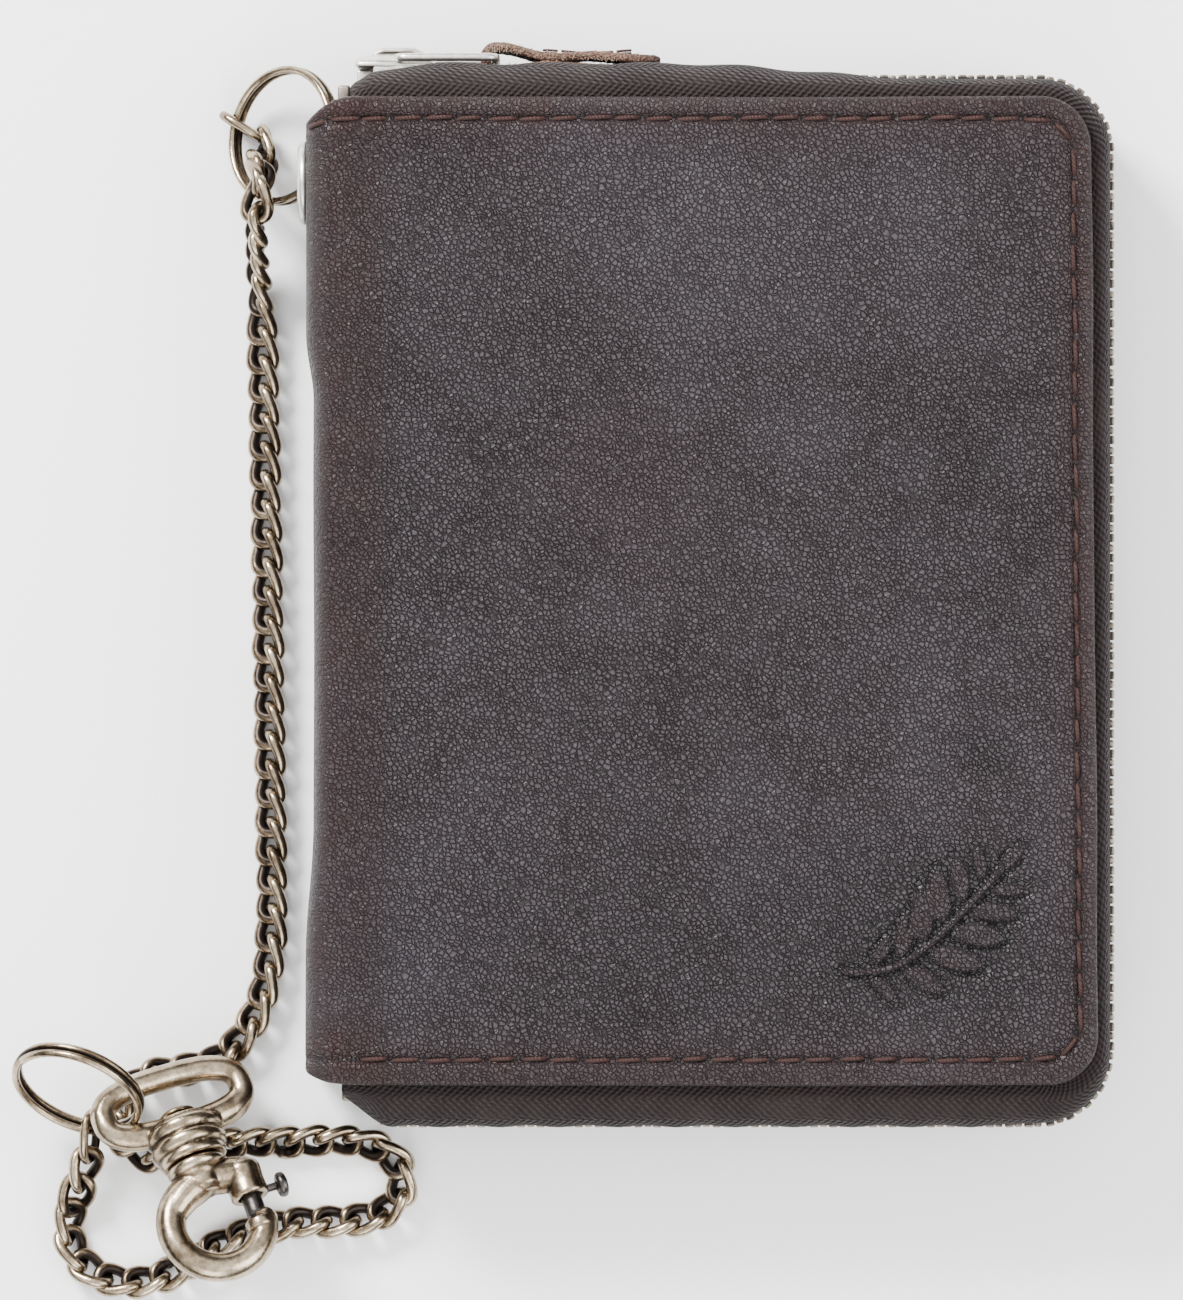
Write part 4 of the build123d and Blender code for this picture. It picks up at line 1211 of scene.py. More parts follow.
def zip_line(s):
    """Middle line of the tape: point and heading at s, from the slider end."""
    segs = [("l", (TX0, TYT), (TXR - TRC, TYT)), ("a", (TXR - TRC, TYT - TRC), 90, 0), ("l", (TXR, TYT - TRC), (TXR, TYB + TRC)),
            ("a", (TXR - TRC, TYB + TRC), 0, -90), ("l", (TXR - TRC, TYB), (TX0, TYB))]
    for g in segs:
        if g[0] == "l":
            n = math.dist(g[1], g[2])
            if s <= n or g is segs[-1]:
                f = s / n
                return (g[1][0] + (g[2][0] - g[1][0]) * f, g[1][1] + (g[2][1] - g[1][1]) * f, math.atan2(g[2][1] - g[1][1], g[2][0] - g[1][0]))
        else:
            n = TRC * math.pi / 2
            if s <= n:
                a = math.radians(g[2] + (g[3] - g[2]) * s / n)
                return g[1][0] + TRC * math.cos(a), g[1][1] + TRC * math.sin(a), a - math.pi / 2
        s -= n


Z_TOT = (TXR - TRC - TX0) * 2 + (TYT - TYB - 2 * TRC) + TRC * math.pi
S_TOP = TXR - TRC - TX0
S_SIDE = S_TOP + TRC * math.pi / 2
S_BOT = Z_TOT - S_TOP


def tuck(s):
    """How far the zip's line draws in at its two ends, mm."""
    s = np.asarray(s, float)
    return 3.4 * np.clip((s - (Z_TOT - 6.6)) / 5.4, 0, 1) ** 1.25 + 1.2 * (1 - sstep(s, 1.8, 5.0))


def bulge(s):
    s = np.asarray(s, float)
    b = 1.75 * (1 - sstep(s, 40, 72)) + 0.1 + 0.15 * np.sin(s * 0.55) * (1 - sstep(s, 60, 80))
    b = b * (0.35 + 0.65 * sstep(s, 2, 12))
    b = b + 0.35 * sstep(s, S_BOT, S_BOT + 8) + 0.12 * np.sin(s * 0.9 + 1) * sstep(s, S_BOT, S_BOT + 8)
    return b


def build_tape(front):
    ss = np.linspace(2.0, Z_TOT - 1.0, 620)
    P = np.array([zip_line(s)[:3] for s in ss])
    out = np.stack([-np.sin(P[:, 2]), np.cos(P[:, 2])], 1)
    nin = np.interp(ss, [0, S_TOP, S_SIDE, S_BOT - 12, S_BOT, Z_TOT], [5.3, 5.3, 5.1, 5.1, 7.4, 7.4])
    bl = bulge(ss)
    tk = tuck(ss)
    wob = 0.10 * np.sin(ss * 0.7) + 0.07 * np.sin(ss * 1.9 + 1)
    rows = []
    for k, s in enumerate(ss):
        ni, b = nin[k], bl[k]
        edge = 1.9 if s < S_BOT else 3.9          # how far in the cover's edge lies
        edge = float(np.interp(s, [0, S_TOP, S_SIDE, S_BOT - 12, S_BOT, Z_TOT], [1.9, 1.9, 1.5, 1.5, 4.2, 4.2]))
        c = [(-ni, 20.02), (-edge - 0.9, 20.05), (-edge * 0.55 + b * 0.2, 20.1 + wob[k]), (-0.25 + b * 0.75, 19.2 + wob[k]), (0.05 + b * 1.15, 17.0),
             (0.02 + b * 0.75, 14.6), (0.0, 13.2), (0.0, 12.4)]
        rows.append(resample(bspline2(c, 8), n=30))
    R = np.array(rows)           # s, across, (n, z)
    dn = np.gradient(R, axis=1)
    nrm = np.stack([-dn[..., 1], dn[..., 0]], -1)
    nrm /= np.linalg.norm(nrm, axis=-1)[..., None]
    acr = np.concatenate([np.zeros((len(ss), 1)), np.cumsum(np.linalg.norm(np.diff(R, axis=1), axis=2), 1)], 1)
    d_edge = np.minimum(np.minimum(acr, acr[:, -1:] - acr), np.minimum(ss - ss[0], ss[-1] - ss)[:, None])
    th = 0.34 * np.sqrt(np.clip(1 - (1 - np.clip(d_edge / 0.34, 0, 1)) ** 2, 0, 1)) + 0.0
    V = []
    for sg in (1, -1):
        q = R + nrm * (th * sg)[..., None]
        n = q[..., 0] - tk[:, None] * sstep(q[..., 0], -4.0, 0.0)
        z = q[..., 1] if front else 22 - q[..., 1]
        V.append(np.stack([P[:, 0][:, None] + out[:, 0][:, None] * n, P[:, 1][:, None] + out[:, 1][:, None] * n, z], -1).reshape(-1, 3))
    nu, nv = R.shape[:2]
    N = nu * nv
    F = grid_faces(nu, nv) + grid_faces(nu, nv, off=N, flip=True)
    ring = [(0, j) for j in range(nv)] + [(i, nv - 1) for i in range(1, nu)] + [(nu - 1, j) for j in range(nv - 2, -1, -1)] + [(i, 0) for i in range(nu - 2, 0, -1)]
    ids = [i * nv + j for i, j in ring]
    for a, b in zip(ids, ids[1:] + ids[:1]):
        F.append((b, a, a + N, b + N))
    uv = np.stack([np.repeat(ss, nv) * MM, acr.ravel() * MM], 1)
    uv = np.vstack([uv, uv])
    o = weld(make("zip_tape_front_cloth" if front else "zip_tape_back_cloth", np.vstack(V), F, TAPE, "zip_tape", uvs=uv))
    return o


ZB0, ZB1 = M((-43.9, 0, 16)), M((-38.0, 0, 16))
tape_b = build_tape(False)
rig.ride(tape_b, "back")
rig.replaces(tape_b, "zip_tape_back")
tape_f = build_tape(True)
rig.blend(tape_f, "back", "front", ZB0, ZB1)
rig.replaces(tape_f, "zip_tape_front")


def rbox(x0, x1, y0, y1, z0, z1, r=0.15, seg=3):
    """Box with rounded edges, by pushing a subdivided cube."""
    n = seg * 2 + 2
    c = np.array([(x0 + x1) / 2, (y0 + y1) / 2, (z0 + z1) / 2])
    hlf = np.array([(x1 - x0) / 2, (y1 - y0) / 2, (z1 - z0) / 2])
    r = min(r, *hlf)
    a = np.tan(np.linspace(-np.pi / 4, np.pi / 4, seg + 1))
    # parametric positions along a side: rounded parts at both ends
    ang = np.linspace(0, 1, seg + 1)
    t = np.concatenate([-1 + 0 * ang[:1], []])
    V, F, key = [], [], {}
    g = np.concatenate([-(1 - ang[::1] * 1.0)[:-1] * 1.0, [0]])  # -1..0 in the round
    side = lambda h_: np.concatenate([-(h_ - r) - r * (1 - ang)[:-1], [-(h_ - r), (h_ - r)], (h_ - r) + r * ang[1:]])
    S = [side(h_) for h_ in hlf]
    m = len(S[0])

    def vid(p):
        k = tuple(np.round(p, 6))
        if k not in key:
            key[k] = len(V)
            core = np.clip(p, -(hlf - r), hlf - r)
            d = p - core
            L = np.linalg.norm(d)
            V.append(c + core + (d / L * r if L > 1e-9 else d))
        return key[k]
    for ax in range(3):
        u, w = (ax + 1) % 3, (ax + 2) % 3
        for sg in (-1, 1):
            for i in range(m - 1):
                for j in range(m - 1):
                    q = []
                    for (ii, jj) in ((i, j), (i + 1, j), (i + 1, j + 1), (i, j + 1)):
                        p = np.zeros(3)
                        p[ax], p[u], p[w] = sg * hlf[ax], S[u][ii], S[w][jj]
                        q.append(vid(p))
                    if len(set(q)) == 4:
                        F.append(tuple(q) if sg > 0 else tuple(q[::-1]))
    return np.array(V), F


def tooth_proto(front):
    b = Batch()
    zt = 9.66
    v, f = rbox(-0.52, 0.52, -1.2, 1.2, zt, 11.85, 0.24, 2)
    # the head narrows towards its tip
    k = np.clip((v[:, 2] - 10.6) / 1.25, 0, 1)
    v[:, 0] *= 1 - 0.25 * k
    b.add(v, f)
    for sg in (1, -1):
        v, f = rbox(-0.5, 0.5, *sorted((sg * 0.46, sg * 1.16)), 8.5, 9.95, 0.2, 2)
        b.add(v, f)
    V = np.vstack(b.v)
    F = b.f
    if front:
        V = V * [1, 1, -1] + [0, 0, 22]
        F = [q[::-1] for q in F]
    return V, F


def build_teeth(front):
    V0, F0 = tooth_proto(front)
    b = Batch()
    for i in range(123):
        s = 8.3 + (i + (0.5 if front else 0)) * 2.33
        x, y, a = zip_line(s)
        tk = float(tuck(s))
        x, y = x + math.sin(a) * tk, y - math.cos(a) * tk
        jx, jz = 0.05 * math.sin(i * 7.7), 0.04 * math.sin(i * 4.1)
        ca, sa = math.cos(a + 0.03 * math.sin(i * 3.3)), math.sin(a + 0.03 * math.sin(i * 3.3))
        V = V0.copy()
        X = V[:, 0] * ca - V[:, 1] * sa + x + jx * ca
        Y = V[:, 0] * sa + V[:, 1] * ca + y + jx * sa
        rec = np.clip(1 - (np.abs(V0[:, 1]) - 0.5) / 0.7, 0, 1) * 0.9
        b.add(np.stack([X, Y, V[:, 2] + jz], 1), F0, recess=rec)
    return b.build("zip_teeth_front_metal" if front else "zip_teeth_back_metal", TEETH_N, "zip_metal")


TEETH_N = metal("zip_tooth_metal", (0.36, 0.32, 0.27), (0.20, 0.17, 0.14), (0.03, 0.024, 0.02), rough=(0.28, 0.45), wear_scale=600)
tb = build_teeth(False)
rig.ride(tb, "back")
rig.replaces(tb, "zip_teeth_back")
tf = build_teeth(True)
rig.blend(tf, "back", "front", ZB0, ZB1)
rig.replaces(tf, "zip_teeth_front")
for nm, x, y, z0, z1, body in (("zip_top_stop_back", -43.7, TYT, 8.3, 10.3, "back"), ("zip_top_stop_front", -43.7, TYT, 11.7, 13.7, "front"), ("zip_bottom_stop", -43.2, TYB, 8.4, 13.6, "back")):
    tk = float(tuck(1.1 if y > 0 else Z_TOT - 1.6))
    yy = y - tk if y > 0 else y + tk
    v_, f_ = rbox(x - 0.75, x + 0.75, yy - 1.1, yy + 1.1, z0, z1, 0.35, 3)
    b_ = Batch()
    b_.add(v_, f_, recess=0.15)
    o_ = b_.build(nm + "_metal", TEETH_N, "zip_metal")
    if nm == "zip_top_stop_front":
        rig.blend(o_, "back", "front", ZB0, ZB1)
    else:
        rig.ride(o_, body)
    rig.replaces(o_, nm)


# ------------------------------------------------------------------ metal helpers
def concave(o, gain=2.2, spread=6, floor_=0.0):
    """Writes 'recess': how hollow the surface is at each vertex, 0 to 1."""
    me = o.data
    n = len(me.vertices)
    co = np.zeros(n * 3)
    me.vertices.foreach_get("co", co)
    co = co.reshape(-1, 3)
    nr = np.zeros(n * 3)
    me.vertices.foreach_get("normal", nr)
    nr = nr.reshape(-1, 3)
    e = np.zeros(len(me.edges) * 2, int)
    me.edges.foreach_get("vertices", e)
    e = e.reshape(-1, 2)
    acc = np.zeros((n, 3))
    cnt = np.zeros(n)
    for a, b in ((0, 1), (1, 0)):
        np.add.at(acc, e[:, a], co[e[:, b]])
        np.add.at(cnt, e[:, a], 1)
    L = np.mean(np.linalg.norm(co[e[:, 0]] - co[e[:, 1]], axis=1))
    lap = acc / np.maximum(cnt, 1)[:, None] - co
    k = (lap * nr).sum(1) / L
    k = np.clip(k * gain * 4, -0.5, 1)
    for _ in range(spread):
        s_, c_ = np.zeros(n), np.zeros(n)
        for a, b in ((0, 1), (1, 0)):
            np.add.at(s_, e[:, a], k[e[:, b]])
            np.add.at(c_, e[:, a], 1)
        k = 0.5 * k + 0.5 * s_ / np.maximum(c_, 1)
    at_ = me.attributes.get("recess") or me.attributes.new("recess", "FLOAT", "POINT")
    at_.data.foreach_set("value", np.clip(k + floor_, 0, 1).astype(np.float32))
    return o


def lathe(prof, o, axis, n=48):
    """Revolved solid: prof is (r, s) pairs along the axis from o."""
    axis = unit(axis)
    u = unit(np.cross(axis, [0.3, 0.5, 0.8]))
    w = np.cross(axis, u)
    P = resample(np.asarray(prof, float), step=0.22) if len(prof) < 60 else np.asarray(prof, float)
    th = np.linspace(0, 2 * np.pi, n, endpoint=False)
    V = np.asarray(o)[None, None, :] + P[:, 1][:, None, None] * axis + P[:, 0][:, None, None] * (np.cos(th)[None, :, None] * u + np.sin(th)[None, :, None] * w)
    m = len(P)
    closed = np.allclose(P[0], P[-1])
    F = grid_faces(m - 1 if closed else m, n, closed_u=closed, closed_v=True, flip=True)
    V = V[:-1] if closed else V
    V = V.reshape(-1, 3)
    if not closed:
        F.append(tuple(range(n)))
        F.append(tuple((m - 1) * n + i for i in range(n))[::-1])
    return V, F


def fuse(b, name, mat, slot, voxel=0.17, smooth=3, gain=2.2, spread=8):
    """One cast-looking skin over several closed shells."""
    o = recalc(b.build(name, mat, slot))
    md = o.modifiers.new("r", "REMESH")
    md.mode = "VOXEL"
    md.voxel_size = voxel * MM
    md.use_smooth_shade = True
    if smooth:
        sm = o.modifiers.new("s", "SMOOTH")
        sm.factor = 0.5
        sm.iterations = smooth
    dg = bpy.context.evaluated_depsgraph_get()
    me = bpy.data.meshes.new_from_object(o.evaluated_get(dg))
    o.modifiers.clear()
    old = o.data
    o.data = me
    bpy.data.meshes.remove(old)
    me.name = name
    if not me.materials:
        me.materials.append(mat.m)
    for p in me.polygons:
        p.material_index = 0
        p.use_smooth = True
    concave(o, gain, spread)
    return o


# ------------------------------------------------------------------ slider, puller wire, pull tab
SX, SYM = -37.6, TYT


def build_slider():
    b = Batch()
    for sg in (1, -1):
        # a domed plate, rounded in outline, wider at the front
        nu, nv = 40, 34
        U, W = np.meshgrid(np.linspace(-1, 1, nu), np.linspace(-1, 1, nv), indexing="ij")
        # square to round-cornered outline
        k = 0.82
        xx = U * np.sqrt(1 - (1 - k) * 0.9 * W ** 2)
        zz = W * np.sqrt(1 - (1 - k) * 1.3 * U ** 2)
        X = SX + xx * 5.0
        half = 4.1 - 0.45 * xx
        Z = 11 + zz * half
        dome = (1.45 if sg > 0 else 0.5) * (1 - 0.9 * np.abs(zz) ** 2.2) * (1 - 0.55 * np.abs(xx) ** 3)
        dd = np.minimum(1 - np.abs(U), 1 - np.abs(W)) * 4.5
        e = edge_t(dd, 0.9)
        base = SYM + sg * (1.95 + dome)
        outer = np.stack([X, base + sg * e, Z], -1).reshape(-1, 3)
        inner = np.stack([X, base - sg * e, Z], -1).reshape(-1, 3)
        N = nu * nv
        F = grid_faces(nu, nv) + grid_faces(nu, nv, off=N, flip=True)
        b.add(np.vstack([outer, inner]), F)
        # flanges
        for z0, z1 in ((6.95, 7.75), (14.25, 15.05)):
            v, f = rbox(SX - 2.6, SX + 2.9, *sorted((SYM + sg * 0.8, SYM + sg * 2.3)), z0, z1, 0.3, 3)
            b.add(v, f)
    v, f = rbox(-42.2, -40.2, SYM - 1.9, SYM + 1.9, 10.15, 11.85, 0.3, 3)
    b.add(v, f)
    # crown: an arched bridge over the puller wire
    arch = np.array([(-40.2, SYM + 2.5), (-40.0, SYM + 3.7), (-39.0, SYM + 4.15), (-37.2, SYM + 4.2), (-35.4, SYM + 4.15), (-34.4, SYM + 3.7), (-34.2, SYM + 2.5)])
    arch = resample(arch, n=26)
    nn = np.gradient(arch, axis=0)
    nn = np.stack([-nn[:, 1], nn[:, 0]], 1)
    nn /= np.linalg.norm(nn, axis=1)[:, None]
    sec = [(0.36 * math.cos(a), 1.6 * np.sign(math.sin(a)) * abs(math.sin(a)) ** 0.55) for a in np.linspace(0, 2 * np.pi, 20, endpoint=False)]
    V = np.array([[(p[0] + m_[0] * s[0], p[1] + m_[1] * s[0], 11 + s[1]) for s in sec] for p, m_ in zip(arch, nn)])
    F = grid_faces(26, 20, closed_v=True)
    F.append(tuple(range(20)))
    F.append(tuple(25 * 20 + i for i in range(20))[::-1])
    b.add(V.reshape(-1, 3), F)
    o = b.build("slider_body", NICKEL, "zip_metal")
    o = weld(o)
    concave(o, 1.5, 5)
    return o


sl = build_slider()
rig.ride(sl, "slider")
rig.replaces(sl, "slider")
PYY = SYM + 3.1


def rounded_rect_path(x0, x1, z0, z1, y, r, n=9):
    p = []
    for cx, cz, a0 in ((x1 - r, z1 - r, 0), (x0 + r, z1 - r, 90), (x0 + r, z0 + r, 180), (x1 - r, z0 + r, 270)):
        for a in np.radians(np.linspace(a0, a0 + 90, n)):
            p.append((cx + r * math.cos(a), y, cz + r * math.sin(a)))
    out = []
    for i in range(len(p)):
        a, b_ = np.array(p[i]), np.array(p[(i + 1) % len(p)])
        m = max(1, int(np.linalg.norm(b_ - a) / 0.4))
        out += [a + (b_ - a) * k / m for k in range(m)]
    return np.array(out)


v_, f_ = tube(rounded_rect_path(-37.2, -25.6, 6.3, 15.7, PYY, 1.0), 0.5, 14, closed=True)
b_ = Batch()
b_.add(v_, f_, recess=0.05)
pw = recalc(b_.build("puller_wire_metal", NICKEL, "zip_metal"))
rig.ride(pw, "puller")
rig.replaces(pw, "puller_wire")


def build_tab():
    """A strap folded round the bar and sewn to itself: outer line, then inner line, in x and y."""
    bx, by = -25.6, PYY
    # centre line of the strap from the lower tip round the bar to the upper tip
    lowr = [(-6.2, by - 1.0), (-10, by - 1.25), (-15, by - 1.05), (-20, by - 0.95), (-23.0, by - 1.2), (bx, by - 1.2)]
    arc_ = [(bx - 1.2 * math.sin(a), by - 1.2 * math.cos(a)) for a in np.linspace(0.35, np.pi - 0.35, 9)]
    upr = [(bx, by + 1.2), (-23.4, by + 1.1), (-20.0, by + 0.35), (-15.5, by + 0.20), (-10.5, by + 0.1), (-6.0, by - 0.05)]
    line = resample(bspline2(lowr + arc_ + upr, 10), n=150)
    tt = np.gradient(line, axis=0)
    tt /= np.linalg.norm(tt, axis=1)[:, None]
    nn = np.stack([tt[:, 1], -tt[:, 0]], 1)
    s = np.linspace(0, 1, len(line))
    nz = 18
    V = {1: [], -1: []}
    rim_, wr = [], []
    for k in range(len(line)):
        x = line[k, 0]
        # width across z: full in the middle, round at the tips
        tip = np.clip((-6.1 - x) / 3.4, 0, 1)
        hw = 3.45 * math.sqrt(max(0.0, 1 - (1 - tip) ** 2)) if s[k] < 0.3 or s[k] > 0.7 else 3.45
        hw = max(hw, 0.9) * (1 - 0.10 * math.exp(-((x + 25.6) / 3) ** 2)) + 0.05 * math.sin(k * 0.9)
        q = np.sin(np.linspace(-np.pi / 2, np.pi / 2, nz))
        d = (1 - np.abs(q)) * hw
        e0 = min(1.0, math.sqrt(max(0.0, min(s[k], 1 - s[k]) * 60)))
        th = 0.52 * np.sqrt(np.clip(1 - (1 - np.clip(d / 0.42, 0, 1)) ** 2, 0, 1)) * (0.3 + 0.7 * e0)
        wv = 0.16 * math.sin(x * 0.55) * (1 if s[k] > 0.5 else 0.6) + 0.09 * np.sin(q * 3 + x * 0.4)
        for sg in (1, -1):
            off = th * sg * 0.95 + wv
            V[sg].append(np.stack([line[k, 0] + nn[k, 0] * off, line[k, 1] + nn[k, 1] * off, 11 + q * hw], 1))
    nu = len(line)
    N = nu * nz
    A, B = np.array(V[1]).reshape(-1, 3), np.array(V[-1]).reshape(-1, 3)
    F = grid_faces(nu, nz) + grid_faces(nu, nz, off=N, flip=True)
    ring = [(0, j) for j in range(nz)] + [(i, nz - 1) for i in range(1, nu)] + [(nu - 1, j) for j in range(nz - 2, -1, -1)] + [(i, 0) for i in range(nu - 2, 0, -1)]
    ids = [i * nz + j for i, j in ring]
    for a, b in zip(ids, ids[1:] + ids[:1]):
        F.append((b, a, a + N, b + N))
    pts = np.vstack([A, B])
    rough_n = fnoise(pts, 1.6, 3.0)
    pts = pts + rough_n[:, None] * 0.10 * np.array([0.3, 1, 0.6])
    zz = np.abs(pts[:, 2] - 11) / 3.45
    wear = np.clip((zz - 0.55) * 2.6, 0, 1) * 0.9 + 0.12
    dark = 0.35 * (1 - np.clip((zz - 0.3) * 2.0, 0, 1)) * (0.6 + 0.4 * np.sin(pts[:, 0] * 0.5))
    o = make("pull_tab_leather", pts, F, L_TAB, "tab_leather", attrs={"wear": wear, "dark": dark})
    o = weld(o, 1e-5)
    return o, line


tab, TAB_LINE = build_tab()
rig.ride(tab, "tab")
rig.replaces(tab, "pull_tab")
# the cut edges of the strap show raw, fuzzy fibre
bf = Batch()
rr = np.random.default_rng(5)
for k in range(900):
    i = int(rr.uniform(3, len(TAB_LINE) - 4))
    sgz = 1 if rr.random() < 0.75 else -1
    x, y = TAB_LINE[i]
    if x > -8.5:
        continue
    off = rr.uniform(-0.42, 0.42)
    t = unit(TAB_LINE[i + 1] - TAB_LINE[i - 1])
    nrm = np.array([t[1], -t[0]])
    base = np.array([x + nrm[0] * off, y + nrm[1] * off, 11 + sgz * 3.32])
    dr = unit(np.array([rr.normal(0, 0.7), rr.normal(0, 0.7), sgz * 1.0]))
    L = rr.uniform(0.25, 0.6)
    mid_ = base + dr * L * 0.5 + np.array([rr.normal(0, 0.06), rr.normal(0, 0.06), 0])
    v, f = tube(np.array([base - dr * 0.15, base, mid_, base + dr * L]), [0.045, 0.045, 0.035, 0.015], 4)
    bf.add(v, f)
fz = bf.build("pull_tab_edge_fibres", SUEDE, "tab_leather")
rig.ride(fz, "tab")
run_stitch("pull_tab_stitching", [[(x, PYY + 0.80 + 0.16 * math.sin(x * 0.55), 11 + z) for x in np.linspace(-20.5, -8.5, 30)] for z in (2.6, -2.6)], "tab", mat=THREAD, r=0.17, pitch=2.2)

# ------------------------------------------------------------------ eyelet
EYC = (-47.5, 50.208, 12.009)
be = Batch()
prof = [(3.42, 1.0), (3.42, -0.6), (3.52, -1.15), (3.85, -1.62), (4.35, -1.72), (4.85, -1.42), (5.0, -1.0), (4.85, -0.62), (3.72, -0.58), (3.66, 1.0), (3.42, 1.0)]
v_, f_ = lathe(prof, EYC, (1, 0, 0), 64)
be.add(v_, f_)
ey = recalc(be.build("eyelet_metal", NICKEL, "nickel"))
concave(ey, 1.0, 3)
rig.ride(ey, "back")
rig.replaces(ey, "eyelet")
be = Batch()
v_, f_ = lathe([(3.7, 0.85), (3.85, 1.22), (4.3, 1.2), (4.45, 0.95), (4.3, 0.78), (3.7, 0.78), (3.7, 0.85)], EYC, (1, 0, 0), 64)
be.add(v_, f_)
wa = recalc(be.build("eyelet_washer_metal", NICKEL, "nickel"))
concave(wa, 1.0, 3)
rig.ride(wa, "back")
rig.replaces(wa, "eyelet_washer")


# ------------------------------------------------------------------ split rings: one wire wound twice, with cut ends
def split_ring(name, c, m, n, R, start_deg, body, node, r=0.5):
    k = np.cross(m, n)
    th = np.radians(np.linspace(start_deg, start_deg + 704, 260))
    u = np.linspace(0, 704, 260)
    hgt = -0.5 + 1.0 * sstep(u, 318, 386)
    bowed = R + 0.10 * np.sin(th * 2) * 0 + 0.12 * np.exp(-((u - 352) / 30) ** 2)
    P = np.array(c)[None] + bowed[:, None] * (np.cos(th)[:, None] * np.array(m) + np.sin(th)[:, None] * np.array(n)) + hgt[:, None] * k
    v, f = tube(P, r, 16, up0=k, squash=0.94)
    b = Batch()
    b.add(v, f)
    o = recalc(b.build(name, BRASS, "antique_brass"))
    # the side facing the other coil is dark
    co = v - np.array(c)[None]
    hh = co @ k
    rec = np.exp(-(hh / 0.28) ** 2) * 0.75
    at_ = o.data.attributes.new("recess", "FLOAT", "POINT")
    at_.data.foreach_set("value", rec.astype(np.float32))
    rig.ride(o, body)
    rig.replaces(o, node)
    return o


M1 = np.array((0.1668, 0.9860, 0.0))
M1 = unit(M1)
A1 = math.radians(41.7)
H1 = np.array((0.9860, -0.1668, 0.0))
N1 = unit(H1 * math.cos(A1) + np.array([0, 0, math.sin(A1)]))
C1 = np.array((-51.07, 56.07, 8.0))
ring1 = split_ring("split_ring_wallet", C1, M1, N1, 7.95, 100, "ring", "ring_wallet", r=0.49)
U2 = unit((0.790, -0.533, -0.303))
V2 = np.array((0.537, 0.362, 0.762))
V2 = unit(V2 - U2 * (U2 @ V2))
C2 = np.array((-75.476, -57.903, 11.342))
ring2 = split_ring("split_ring_snap", C2, U2, V2, 7.7, 200, "back", "ring_snap", r=0.5)

# ------------------------------------------------------------------ chain: curb links along one line
F2 = math.radians(-47)
P2 = C2 + 7.7 * (U2 * math.cos(F2) + V2 * math.sin(F2))
T2 = unit(-U2 * math.sin(F2) + V2 * math.cos(F2))
A2 = np.array((-0.06, -0.95, -0.30))
A2 = unit(A2 - T2 * (A2 @ T2))
ROUTE = [(-53.60, 57.00, 2.75), (-53.65, 54.20, 2.9), (-53.8, 52.6, 6.6), (-54.0, 50.8, 10.6), (-54.2, 47.0, 11.2),
         (-54.3, 43.4, 8.0), (-54.2, 39.6, 3.6), (-53.9, 34.6, 1.9), (-53.7, 27.0, 1.8),
         (-53.5, 16.0, 1.8), (-53.2, 3.0, 1.8), (-53.0, -13.0, 1.8), (-52.8, -27.0, 1.8),
         (-52.6, -38.0, 1.8), (-53.2, -45.5, 1.8), (-55.2, -51.0, 1.8), (-58.9, -55.0, 1.8), (-63.6, -56.2, 1.8),
         (-68.4, -56.6, 1.8), (-71.4, -60.2, 1.8), (-70.9, -64.8, 1.8), (-67.0, -67.2, 1.8),
         (-62.0, -65.9, 1.8), (-56.5, -64.6, 1.8), (-50.5, -64.8, 1.8), (-44.6, -64.3, 1.8), (-39.0, -65.2, 1.8),
         (-36.2, -69.2, 1.8), (-38.6, -73.4, 1.8), (-43.8, -74.4, 1.8), (-49.4, -74.2, 1.8), (-54.8, -75.4, 1.8),
         (-59.6, -77.2, 1.8), (-64.0, -80.4, 1.8), (-69.4, -82.0, 1.8), (-74.8, -80.6, 1.8), (-77.4, -76.6, 1.8),
         (-76.8, -72.4, 2.4), (-75.3, -69.0, 4.0), tuple(P2 + A2 * 2.95)]
cu = bpy.data.curves.new("chain_line", "CURVE")
cu.dimensions = "3D"
cu.resolution_u = 24
spl = cu.splines.new("NURBS")
spl.points.add(len(ROUTE) - 1)
for p_, q_ in zip(spl.points, ROUTE):
    p_.co = (*M(q_), 1)
spl.order_u = 3
spl.use_endpoint_u = True
co_ = bpy.data.objects.new("chain_line", cu)
bpy.context.scene.collection.objects.link(co_)
dg_ = bpy.context.evaluated_depsgraph_get()
lm = bpy.data.meshes.new_from_object(co_.evaluated_get(dg_))
CL = np.array([v.co for v in lm.vertices], float) / MM - np.array([OX, OY, 0])
bpy.data.objects.remove(co_)
bpy.data.meshes.remove(lm)
CL = resample(CL, step=0.4)
CS = np.concatenate([[0], np.cumsum(np.linalg.norm(np.diff(CL, axis=0), axis=1))])
CHL = CS[-1]


def cl_at(s):
    s = min(max(s, 0), CHL)
    return np.array([np.interp(s, CS, CL[:, i]) for i in range(3)])


